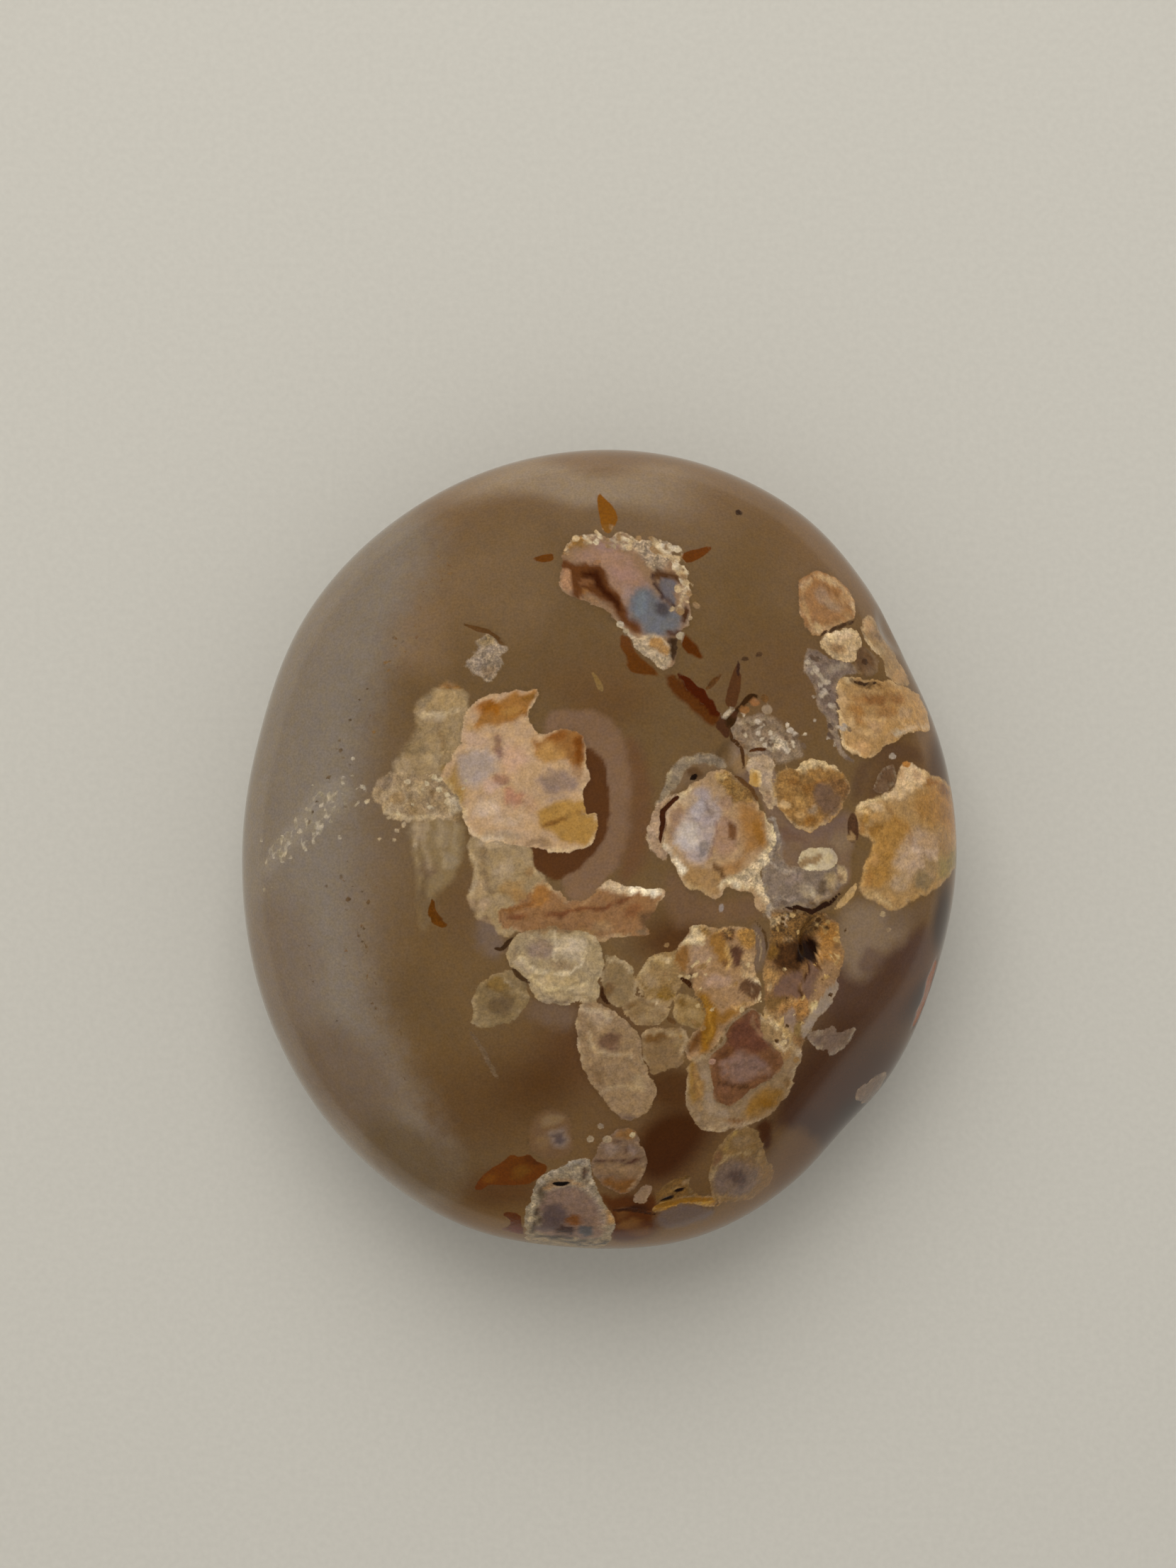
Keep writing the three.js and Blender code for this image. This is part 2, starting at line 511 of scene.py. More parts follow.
# Cloudy growths that lie deeper than the polish cuts, from the back to the front.
VEILS = (
    # The first is the greyer zone on the left: partly milky chalcedony and partly painted light shining
    # through the thin rim.
    Plume(Tier.VEIL, "-12,25 -13.4,21 -15.5,15.5 -17,10 -17.9,5 -18.4,0 -18.2,-5 -17.1,-10 -14.5,-17 "
          "-11,-24 -14,-29 -24,-22 -31,-10 -32,5 -29,18 -20,28", "#7e7263", (
        Spot(-24, -9, 4, 7, "#776858"), Spot(-19, -17, 6, 4, "#6c5b4a", -50),
        Spot(-14.5, -23, 5, 3, "#62513b", -40),
    ), ragged=0.5, soft=2.6, depth=12),
    Plume(Tier.VEIL, "-20.6,5.6 -18.6,5.2 -18,3.9 -19.6,2.6 -21.6,1.4 -23.4,-.2 -25,-2 -25.8,-1.2 -24.4,.6 "
          "-22.4,3", "#8d8170", grit=0.5, soft=0.5, share=0.6),
    Plume(Tier.VEIL, "-4.5,10.3 -2,10.5 0,10.3 1.2,9.5 2,8 2.35,5.5 2.4,3 2.1,.8 1.4,-.8 .3,-2 -1,-3.6 "
          "-2.6,-3.3 -3.4,2", "#7a5e46", soft=0.3, share=0.95),
    Plume(Tier.VEIL, "2.4,8.6 3.3,7 3.8,4.5 3.8,1.5 3.2,-1 1.6,-2.4 1.3,-.9 2,.8 2.3,3 2.2,5.5 1.8,8.2",
          "#69492f", soft=0.6, share=0.85),
    Plume(Tier.VEIL, "-1.3,7.75 -.5,7.6 .1,7 .5,6 .75,4.2 .6,2.2 .2,.7 -.6,-.2 -1.8,-1.3 -2.9,-2.1 "
          "-3.7,-1.85 -5,-.9 -5.3,.5 -3,1 -2,4 -2,7", "#55341b", soft=0.12, share=1),
    Plume(Tier.VEIL, "11,-5 11.9,-5.6 12.3,-6.9 12,-8.2 11.5,-8.9 11.2,-7.4", "#6e5a49", soft=0.3),
    Plume(Tier.VEIL, "12.2,5.8 12.6,6.7 13.1,5.8 12.9,4.6 12.7,3.6 13.3,2.5 14.4,1.6 15.4,1.2 16.6,1.6 "
          "17.6,2.4 18.7,2.9 19.1,1.6 18.7,.6 18.4,-.6 18.6,-1.8 17.8,-2.8 16.6,-3.6 14.8,-4.3 12.8,-4.6 "
          "11.6,-4.4 11.8,-2 12.3,-.4 12.4,1.4 12,3.2 11.8,4.6", "#755d47", (
        Spot(14, 1.3, 1.4, 0.5, "#6b5140", -30), Spot(17.6, 0.8, 0.9, 1.1, "#80694f"),
        Spot(13.2, 0.6, 0.4, 1.2, "#7a695c"), Spot(12.6, 5, 0.5, 1.4, "#8a7460"),
    ), soft=0.2, share=0.95),
    Plume(Tier.VEIL, "4.9,4.2 5.4,5.8 6,6.8 7.5,7.2 9.6,6.3 8,5.9 6.6,5.1 5.7,4.4", "#745c43", (
        Spot(6.8, 5.9, 0.6, 0.4, "#523820"),
    ), soft=0.4, share=0.85),
    Plume(Tier.VEIL, "4.6,-3.2 5.2,-1 6.6,-2.6 8.2,-3.8 10.8,-3.2 12.2,-3.2 12,-4.9 9.8,-5.1 7.4,-5 "
          "5.6,-5.6", "#6e533b", soft=0.6, share=0.85),
    Plume(Tier.VEIL, "-8.9,-4.6 -7.9,-4.8 -7,-5.6 -6.9,-7 -7.6,-7.6 -8.7,-7.2 -9.1,-5.8", "#6f5c4d",
          soft=0.6),
    Plume(Tier.VEIL, "-2.2,-10.8 -1.4,-12.2 -2.2,-13 -4,-12.7 -5.6,-11.8 -5.4,-10.8", "#6a5440", soft=0.5),
    Plume(Tier.VEIL, "10.6,4.6 12.4,4 14,1.6 15.6,.6 17.6,1.2 18.6,2.6 17.8,3 15,1.6 13,2.8 12.8,6 11.8,8 "
          "9.8,8.6 9.4,7", "#70594a", (
        Spot(10.4, 6.6, 1.2, 0.8, "#8c6f4b"), Spot(9.4, 7.3, 0.7, 0.8, "#8a735a"),
    ), soft=0.4, share=0.85),
    Plume(Tier.VEIL, "-5.1,-22 -5.2,-20.8 -4.9,-19.6 -4,-18.9 -3,-19 -2.4,-19.6 -2,-20.8 -2,-21.9 "
          "-2.5,-22.6 -3.6,-22.7 -4.4,-22.6", "#694f36", (
        Spot(-3.6, -19.7, 0.9, 0.6, "#7c6446"), Spot(-4.2, -21.4, 0.5, 0.8, "#755b3e"),
        Spot(-3, -21.2, 0.85, 0.8, "#7d6b5d"), Spot(-3, -21.25, 0.5, 0.45, "#4d403d"),
    ), soft=0.25, share=0.95),
    Plume(Tier.VEIL, "-.2,-25.4 1,-25.9 2.2,-25.6 4.2,-25.6 4.4,-26.8 3.8,-27.6 4.2,-29 2,-30 .4,-29.4 "
          ".8,-27.4", "#4d2c12", (
        Spot(2.2, -28.2, 1.2, 0.7, "#6a4a2a"), Spot(1.6, -27.2, 0.6, 0.4, "#5f3f22"),
        Spot(3.3, -28.9, 0.9, 0.5, "#5e4020"), Spot(2.8, -26.9, 1.2, 0.3, "#2f1808"),
    ), soft=0.3, share=0.95),
    Plume(Tier.VEIL, "12.7,-21.8 12.9,-20.7 14.5,-20.8 16,-21.6 17.3,-23 17.2,-24.2 15.8,-25.6 14.2,-26.6 "
          "13.4,-26.9 13.6,-25.4 13.2,-23.2", "#61492e", soft=0.7),
    Plume(Tier.VEIL, "11.5,-20.4 12.7,-19.8 12.9,-21.2 12.9,-22.4 12.3,-22.4 12,-21.2", "#3f2410", soft=0.2),
    Plume(Tier.VEIL, "4.2,-28.3 4.4,-27.4 5.3,-26.8 6.6,-26.5 8,-26.8 8.8,-27.4 8.3,-28.1 6.8,-28.5 "
          "5.2,-28.7", "#62534a", soft=0.25, share=0.95),
    Plume(Tier.VEIL, "-1,26.2 4,25.4 9,24.6 9.6,20 8.6,16 7.6,18 6.9,21 4,24 0,24.6 -3.4,23.4", "#6f583d",
          soft=0.9, share=0.5),
    Plume(Tier.VEIL, "17.6,-4.4 19.4,-3.6 21.4,-4.2 23.6,-4.8 23.2,-6.4 21.4,-7.4 20.6,-9 18.6,-9.6 "
          "17.8,-7.4", "#7f6b55", (
        Spot(20.4, -8.2, 1.4, 1, "#655143"),
    ), soft=0.8),
    Plume(Tier.VEIL, "19.6,4.2 20,6.6 21.8,7.4 24.6,6.4 24.4,7.6 22.4,8.2 20.8,7.2 19,6.6 18.4,3.4",
          "#5a432f", soft=0.4, share=0.85),
)

# The large flower on the left and the pale growth about it.
WEST_FLOWERS = (
    Plume(Tier.VEIL, "-14,2.6 -13.9,1 -13.6,-.5 -13.4,-2 -13.2,-5.6 -12.5,-5.6 -12.2,-3 -11.4,-2.4 "
          "-10.4,-1.4 -9.9,.6 -10,2.6", "#85704f", (
        Spot(-13.2, 1.6, 0.7, 1, "#9a8467"), Spot(-11.5, 1.3, 0.8, 1.2, "#8f7c60"),
        Spot(-10.9, -0.6, 0.8, 0.8, "#8c7a5e"), Spot(-12.7, -1.2, 1, 0.8, "#78624a"),
        Spot(-12.9, -4, 0.6, 2.2, "#6c573c"),
    ), (
        Streak("-13.4,2.6 -13.4,.8 -13.2,-.8", 0.25, "#ab9573"),
        Streak("-12.7,2.6 -12.7,.8 -12.4,-1", 0.22, "#a28c6b"),
        Streak("-11.7,2.4 -11.6,.8 -11.3,-1", 0.22, "#a5906f"),
        Streak("-10.5,2.4 -10.5,1 -10.6,-.6", 0.22, "#9c8867"),
        Streak("-13.05,1 -13.1,-.8 -13,-3", 0.16, "#5f4a30"),
    ), soft=0.35),
    Plume(Tier.LOWER, "-9.6,11.3 -10,11.9 -10.5,12.4 -11.2,12.65 -11.8,12.3 -12.7,11.8 -13.4,11 -13.7,10.2 "
          "-13.4,9.3 -14.2,8 -15,6.8 -15.1,5.7 -13,5.2 -11,5.2 -10,7 -9.6,9", "#957d59", (
        Spot(-10.9, 12.4, 1.1, 0.5, "#7f5422"), Spot(-11.3, 11.2, 1.3, 0.8, "#a5895d"),
        Spot(-12.9, 11.3, 0.8, 0.5, "#857155", 45), Spot(-12.4, 10.2, 1.5, 0.45, "#a0896a"),
        Spot(-13.7, 7.8, 0.8, 0.6, "#867152"), Spot(-12.4, 7, 0.9, 0.8, "#a68e69"),
        Spot(-14.4, 6.3, 0.9, 0.7, "#9f8868"), Spot(-11.3, 6.1, 0.6, 0.6, "#876c3f"),
    ), (
        Streak("-13.6,10 -12.6,10.35 -11.6,10.3 -10.5,10.4", 0.28, "#bda681", 0.75),
        Streak("-13.4,9.2 -14.1,7.9 -14.9,6.7", 0.3, "#7b6545"),
        Streak("-11.9,9.6 -11.4,8.2 -11.8,6.8", 0.2, "#7c6240"),
    ), skin=0.3, grit=0.15, soft=0.25),
    Plume(Tier.LOWER, "-15.1,6 -16.4,5.2 -16.7,3.9 -16,3 -15.2,2.5 -14.2,2.45 -13,2.4 -11.6,2.5 -10.2,2.3 "
          "-9.8,3.6 -10.4,5 -11.4,5.8 -13,5.8", "#987f5d", (
        Spot(-16.1, 5, 0.7, 0.5, "#867159"), Spot(-15.1, 3.9, 1.1, 1, "#a8906e", core=0.6),
        Spot(-15, 3.9, 0.6, 0.5, "#8f734d"), Spot(-13.3, 4.5, 0.8, 0.6, "#a68e6a"),
        Spot(-12.1, 4.4, 0.35, 0.5, "#745a37"), Spot(-10.7, 3.6, 0.5, 0.8, "#ab987a", grit=0.5),
        Spot(-10.3, 2.8, 0.3, 0.4, "#7c6342"), Spot(-14, 2.9, 0.8, 0.4, "#8f7552"),
    ), (
        Streak("-15.9,3.1 -15,2.7 -13.6,2.7 -12,2.8", 0.25, "#b7a17c"),
        Streak("-13.9,5 -14,4 -13.6,3.2", 0.22, "#7d6543", 0.7),
    ), skin=0.4, grit=0.35, ragged=0.25, soft=0.15),
    Plume(Tier.LOWER, "-9.95,1.2 -9.27,-.8 -9.2,-2.15 -9.65,-2.9 -9.6,-3.5 -9,-4.9 -7.9,-5.2 -6.9,-6.3 "
          "-6,-5.8 -5.2,-4.6 -4.4,-3.4 -3.75,-1.8 -4.95,-1 -5.1,.6 -7.5,1.4", "#98805c", (
        Spot(-7.8, 0.7, 1.3, 0.6, "#ab9372"), Spot(-7.2, -1.2, 0.8, 0.7, "#a68f70"),
        Spot(-5.1, -1.5, 0.5, 0.6, "#8d6e48"), Spot(-8.7, -2.4, 0.6, 0.8, "#a38966"),
        Spot(-6.4, -2.5, 1, 0.7, "#99784a"), Spot(-9.2, -3.7, 0.5, 0.5, "#866c4f"),
        Spot(-8.3, -3.7, 0.5, 0.5, "#a68b6b"), Spot(-5.7, -3, 0.8, 0.6, "#947145"),
        Spot(-8.5, -5.2, 0.9, 0.8, "#785f47"),
    ), (
        Streak("-8.3,.4 -8.5,-1.2 -8.1,-2.4 -7.5,-2.9", 0.25, "#7d6547", 0.7),
        Streak("-9.2,-.2 -9,-1.8 -9.2,-2.8", 0.2, "#b8a17e", 0.5),
    ), skin=0.3, soft=0.15),
    Plume(Tier.LOWER, "-7.7,-4.2 -6,-3.6 -4.5,-2 -3.9,-2.1 -2.6,-3 -2.5,-3.4 -1,-3.5 .4,-1.8 1.9,-2.4 "
          "4.4,-2.6 4.8,-3.17 3.5,-4.9 3.05,-4.95 3.6,-5.55 3.5,-5.9 2.75,-6.25 2.1,-5.9 0,-6.65 -2.5,-6.2 "
          "-5.4,-5.9 -7.2,-5.4", "#8a6440", (
        Spot(-4.4, -3, 1.1, 0.9, "#976733"), Spot(2.3, -4.3, 0.8, 0.5, "#7e5230"),
        Spot(3.4, -4.9, 0.6, 0.6, "#674b32"), Spot(0.2, -5.5, 1, 0.5, "#90704b"),
        Spot(3, -5.7, 0.6, 0.4, "#7b634b"), Spot(-1.6, -5.9, 1.6, 0.4, "#97754b"),
    ), (
        Streak("-6.5,-4.6 -4,-4.7 -2,-4.3 0,-3.9 1.6,-3.4 2.8,-3.1", 0.25, "#68391d", 0.8),
        Streak("-7.3,-4.2 -6,-3.9 -5,-3.3", 0.2, "#7e4f22", 0.7),
        Streak(".2,-1.9 1.2,-2.3 2.2,-2.6 3.2,-2.75 4.2,-3 4.8,-3.3", 0.42, "#cfb48d", 0.9, 0.5),
        Streak("2.4,-2.6 3.2,-2.75 4.1,-2.95", 0.45, "#f2e2c2", 0.95, 0.4),
        Streak("-5.1,-2.6 -4.4,-2.15 -3.7,-2.4 -3,-3", 0.2, "#b3966c", 0.7),
        Streak("-2.6,-6.1 -.8,-6.3 .6,-6.3 2,-6", 0.25, "#a48a63"),
    ), skin=0.3),
    Plume(Tier.UPPER, "-9.9,9.85 -9.4,10.95 -8.05,11.75 -6.6,11.7 -5.9,12 -4.3,12 -4.8,10.7 -5.3,10.4 "
          "-5,9.05 -4.5,8.5 -3.2,8.95 -2.2,9 -1.45,8.7 -1.05,8.05 -.85,6.6 -.8,5.4 -1.35,3.6 -1,2.8 "
          "-.35,2.9 -.05,2.5 -.45,.8 -1.55,.1 -3.1,.1 -5.1,.3 -6.8,.9 -9.15,.85 -10.05,2.5 -10.3,4.05 "
          "-10.95,4.8 -11.85,5.4 -11.6,5.95 -10.4,7.7 -9.95,8.95", "#b5946f", (
        Spot(-8.1, 10.7, 1.2, 0.6, "#8c5410", 10), Spot(-6.4, 10.5, 0.9, 0.4, "#a0743a"),
        Spot(-9, 6.3, 1.7, 1.7, "#a39184"), Spot(-6.4, 6.8, 1.1, 1.2, "#c39c7d"),
        Spot(-7.7, 4.9, 0.8, 0.6, "#c09e84"), Spot(-7, 5.4, 0.7, 0.5, "#987058"),
        Spot(-6.1, 4.1, 0.9, 0.7, "#a5755b", -40), Spot(-9.2, 8.4, 1.1, 0.7, "#b8987a"),
        Spot(-8.3, 3.3, 1.4, 0.9, "#c6ab8f"), Spot(-5.3, 3.4, 0.6, 0.9, "#ab8766"),
        Spot(-7, 2.4, 1.2, 0.6, "#b79b7d"), Spot(-7.1, 1.3, 1.6, 0.4, "#a58c6d"),
        Spot(-4.5, 0.7, 1.4, 0.4, "#8a6e50"), Spot(-3.2, 8.5, 0.9, 0.35, "#84501f"),
        Spot(-1.45, 7.4, 0.55, 1.4, "#733f0e"), Spot(-3.7, 7.35, 1.2, 0.7, "#b0854c"),
        Spot(-5, 11.4, 0.9, 0.4, "#7e5520"), Spot(-7.45, 7.9, 0.4, 0.9, "#8b6a52"),
        Spot(-1.6, 5.9, 0.4, 0.5, "#9c7a58"), Spot(-3.4, 3.9, 1.1, 0.3, "#a1856a"),
    ), (
        Streak("-7.5,8.4 -7.55,7.8 -7.4,7.1", 0.32, "#8d6a58", 0.9),
        Streak("-4.2,2.1 -3.2,2.3 -1.9,2.6 -1.1,2.9", 0.18, "#6e461c", 0.8),
        Streak("-4.7,9.7 -4.6,8.6 -3.8,7.9", 0.16, "#c39a66", 0.5),
        Streak("-3.6,.3 -2.3,.3 -1.2,.5 -.4,1.2", 0.22, "#cbb087", 0.75),
        Streak("-10,3.2 -9.6,2 -8.8,1.1 -7,1", 0.2, "#d3bc98"),
        Streak("-11.7,5.5 -10.8,5 -10.4,4.2 -10.2,3.2", 0.2, "#bda273", 0.7),
        Streak("-9.7,7.8 -8.4,7.6 -7.6,6.9", 0.16, "#c4a98d", 0.5),
        Streak("-5.6,10.3 -5.1,10.1 -5,9.2", 0.16, "#6e430f"),
    ), (
        Patch("-9.5,9.5 -8.7,10.3 -7.9,11 -6.9,11.5 -5.6,11.9 -4.4,12 -5,10.9 -5.2,10.2 -5.7,9.8 -7.6,9.5 "
              "-8.6,9.3", "#96652b", 0.25),
        Patch("-5,8.4 -4.2,8.2 -3.4,8.9 -2.2,9 -1.3,8.5 -1,7.4 -.9,6.2 -1.6,5.7 -2.1,6.6 -3,7.1 -3.9,6.8 "
              "-4.7,7.2", "#8f5f2b", 0.25),
        Patch("-9.7,9.5 -9.3,8.6 -9.9,7.4 -11,6.2 -11.8,5.5 -10.8,4.4 -10.2,3.4 -9.8,4.6 -9.7,6 -9.4,7.2 "
              "-8.9,8.8", "#987640", 0.3),
        Patch("-5,2.9 -3.8,3.4 -2.4,3.7 -1.3,3.9 -.9,3.1 -.2,2.7 0,1.8 -.6,.9 -1.6,.7 -2.8,1.1 -3.8,1.6 "
              "-4.8,2.2", "#a37a3a", 0.25),
        Patch("-4.7,5.6 -3.6,6 -2.2,5.8 -1.4,5.2 -1.6,4.4 -2.8,4.2 -4,4.4", "#8d7564", 0.35),
    ), skin=0.45, skin_width=0.25, rings=0.2),
)

# The row of cream flowers under the middle.
SOUTH_FLOWERS = (
    Plume(Tier.LOWER, "-6.4,-8.4 -7.4,-8.8 -8.8,-9.55 -9.2,-10.2 -9.35,-12.05 -9.6,-12.8 -7.5,-12.75 "
          "-5.75,-11.8 -5.15,-10.75 -5.3,-9.6", "#796444", (
        Spot(-7.2, -11, 1.1, 0.9, "#614d34"), Spot(-7.6, -9.3, 1.2, 0.45, "#7e6234", -20),
        Spot(-8.6, -12.2, 0.7, 0.5, "#846f4e"),
    ), (
        Streak("-5.5,-10.2 -6.3,-9.8 -6.9,-9", 0.2, "#9d8764", 0.7),
        Streak("-9,-10.4 -9.1,-11.6 -9.2,-12.6", 0.22, "#9d8660"),
        Streak("-8.2,-9.5 -7.2,-9.9 -6.4,-10.6", 0.18, "#5a4019", 0.5),
    ), skin=0.35, skin_width=0.3),
    Plume(Tier.UPPER, "-6.3,-6.2 -6.9,-7.4 -6.15,-8.8 -5.25,-9.55 -4.75,-10.55 -4,-11.05 -3.4,-11 "
          "-2.4,-11.3 -1.7,-10.85 -.75,-10.85 -.1,-10.55 -.2,-9.9 .25,-8.3 0,-6.2 -1.4,-5.5 -3.6,-5.3 "
          "-5.4,-5.5", "#998462", (
        Spot(-2, -6.9, 1.5, 1, "#b8a486"), Spot(-4.3, -6.8, 1.2, 0.9, "#86705d", share=0.95, core=0.4),
        Spot(-3.4, -9.3, 2, 0.8, "#ad956c", 10), Spot(-5.6, -8, 0.8, 0.7, "#a48f70", -40),
        Spot(-3.4, -11, 1.7, 0.3, "#766450"), Spot(-3.5, -5.5, 2.6, 0.35, "#846746"),
        Spot(-1.2, -10.2, 1, 0.6, "#aa9470"), Spot(-6.2, -7.1, 0.4, 0.6, "#8b765b"),
        Spot(-3, -8.1, 1, 0.4, "#917959", -10),
    ), (
        Streak("-5.8,-7.4 -5,-8.5 -3.5,-8.7 -2,-8.4 -.9,-7.4", 0.18, "#c7b38f", 0.7),
        Streak("-5.2,-9 -3.9,-9.9 -2.1,-10 -.9,-9.4", 0.18, "#c7b185"),
        Streak("-3.4,-7.6 -3.1,-6.6 -3.3,-5.9", 0.18, "#c9b593"),
        Streak("-2.6,-10.9 -1.6,-10.5 -.4,-10.6", 0.18, "#6d5637", 0.5),
    ), skin=0.4, skin_width=0.3, grit=0.18, rings=0.4),
    Plume(Tier.LOWER, ".2,-7.6 .4,-7.35 1,-7.35 2.3,-8.15 2.5,-8.6 2.3,-8.95 2.8,-9.3 2.7,-10.2 1.7,-11.4 "
          ".3,-10.5 .5,-10.1 .05,-9.7 .3,-8.2", "#816a49", (
        Spot(0.7, -9.8, 0.4, 0.6, "#6a4f30"),
    ), (
        Streak(".5,-7.6 1.2,-7.6 2,-8.1 2.3,-8.7", 0.2, "#aa9470", 0.7),
    ), skin=0.45, skin_width=0.28),
    Plume(Tier.LOWER, "1.3,-11 2.7,-10.3 5,-11.2 5.25,-11.6 4.55,-12.65 2.75,-12.85", "#806644", (
        Spot(3.6, -12, 1, 0.45, "#8f7652"), Spot(2.4, -11.2, 0.6, 0.4, "#694d2a"),
    ), (
        Streak("1.8,-11.5 3,-11.2 4.6,-11.5", 0.18, "#a38960"),
    ), skin=0.4, skin_width=0.3),
    Plume(Tier.LOWER, "2.6,-8.7 4.1,-7.1 5.2,-7.3 5.8,-6.9 6.3,-7.6 6.4,-8.8 5.7,-10 5.5,-10.9 5,-11.2 "
          "4,-11 3,-10.3 2.6,-9.4", "#876b43", (
        Spot(5, -10.2, 0.8, 0.6, "#7a5a26"), Spot(3.7, -9.4, 0.8, 0.8, "#947a56"),
        Spot(4.5, -8, 1, 0.5, "#957a4f"), Spot(3.3, -8.5, 0.5, 0.5, "#a18761"),
    ), (
        Streak("2.9,-8.9 3.6,-8.1 4.3,-7.5 5.3,-7.6", 0.22, "#ad946a", 0.7, 0.5),
        Streak("3.2,-9.8 4.2,-10.2 5,-10.5 5.6,-10.2", 0.16, "#674c12", 0.7),
        Streak("3.1,-10.7 3.6,-10.95 4.2,-10.9", 0.2, "#c3ae88", 0.7),
    ), skin=0.45, skin_width=0.3, grit=0.25),
    Plume(Tier.LOWER, "3,-13 5.3,-12.7 6.6,-13.1 6.4,-14.15 5.8,-15.75 5.3,-15.75 4.15,-16.25 3.65,-16.1 "
          "3.6,-15.5 3,-14.7", "#7b6141", (
        Spot(4, -13.5, 0.9, 0.4, "#694924"), Spot(5.8, -13.8, 0.5, 0.6, "#876e4a"),
    ), (
        Streak("3.4,-13.2 4.6,-13 6.2,-13.3", 0.2, "#a08861"),
    ), skin=0.45, skin_width=0.3),
    Plume(Tier.LOWER, "5.7,-10.1 6.8,-10.5 7.7,-11.75 7.65,-12.4 7.15,-12.9 5.6,-12.7 5.4,-11.45", "#866b42",
          (
        Spot(6.5, -11.8, 0.7, 0.5, "#957a50"), Spot(6.2, -10.8, 0.4, 0.5, "#6f5123"),
        Spot(7, -12.4, 0.5, 0.3, "#75582d"),
    ), skin=0.4, skin_width=0.3),
    Plume(Tier.UPPER, "-1.35,-10.95 -.65,-10.7 .05,-10.9 1.3,-11.75 2.95,-13.3 2.95,-14.35 3.25,-15.3 "
          "3.6,-15.55 3.35,-16.05 4.15,-17.1 4.25,-17.8 3.75,-18.4 3.65,-18.95 3.15,-19.3 1.7,-19.75 "
          "1.2,-19.15 .7,-18.95 .35,-18.25 -1.2,-16.2 -1.4,-15.35 -1.25,-14.55 -1.6,-14.25 -1.75,-12.3",
          "#896f50", (
        Spot(-0.2, -12, 1.1, 0.7, "#9a8266", -20), Spot(0.9, -13.7, 0.8, 0.7, "#694d38", share=0.95),
        Spot(2, -19.4, 0.8, 0.3, "#654f40"), Spot(-0.2, -16.6, 0.5, 0.8, "#755b3e", 30),
        Spot(2.8, -16.9, 0.6, 0.7, "#957d5b"), Spot(0.3, -14.9, 0.8, 0.3, "#947b5a"),
    ), (
        Streak("-.6,-13.2 -.1,-14.5 .9,-14.8 2.2,-14.9", 0.18, "#ad9571"),
        Streak(".3,-17.5 1.6,-17.1 3.2,-17.4", 0.18, "#a58d6a"),
        Streak("2,-12 2.5,-12.6 3,-13.2", 0.22, "#957438", 0.7),
        Streak("-1.3,-11.5 -.4,-11.3 .7,-11.9", 0.2, "#b9a382"),
        Streak("-.9,-15.9 -.2,-15.6 .4,-16.3", 0.16, "#5d4022", 0.5),
    ), skin=0.45, skin_width=0.32, grit=0.15, rings=0.45),
)

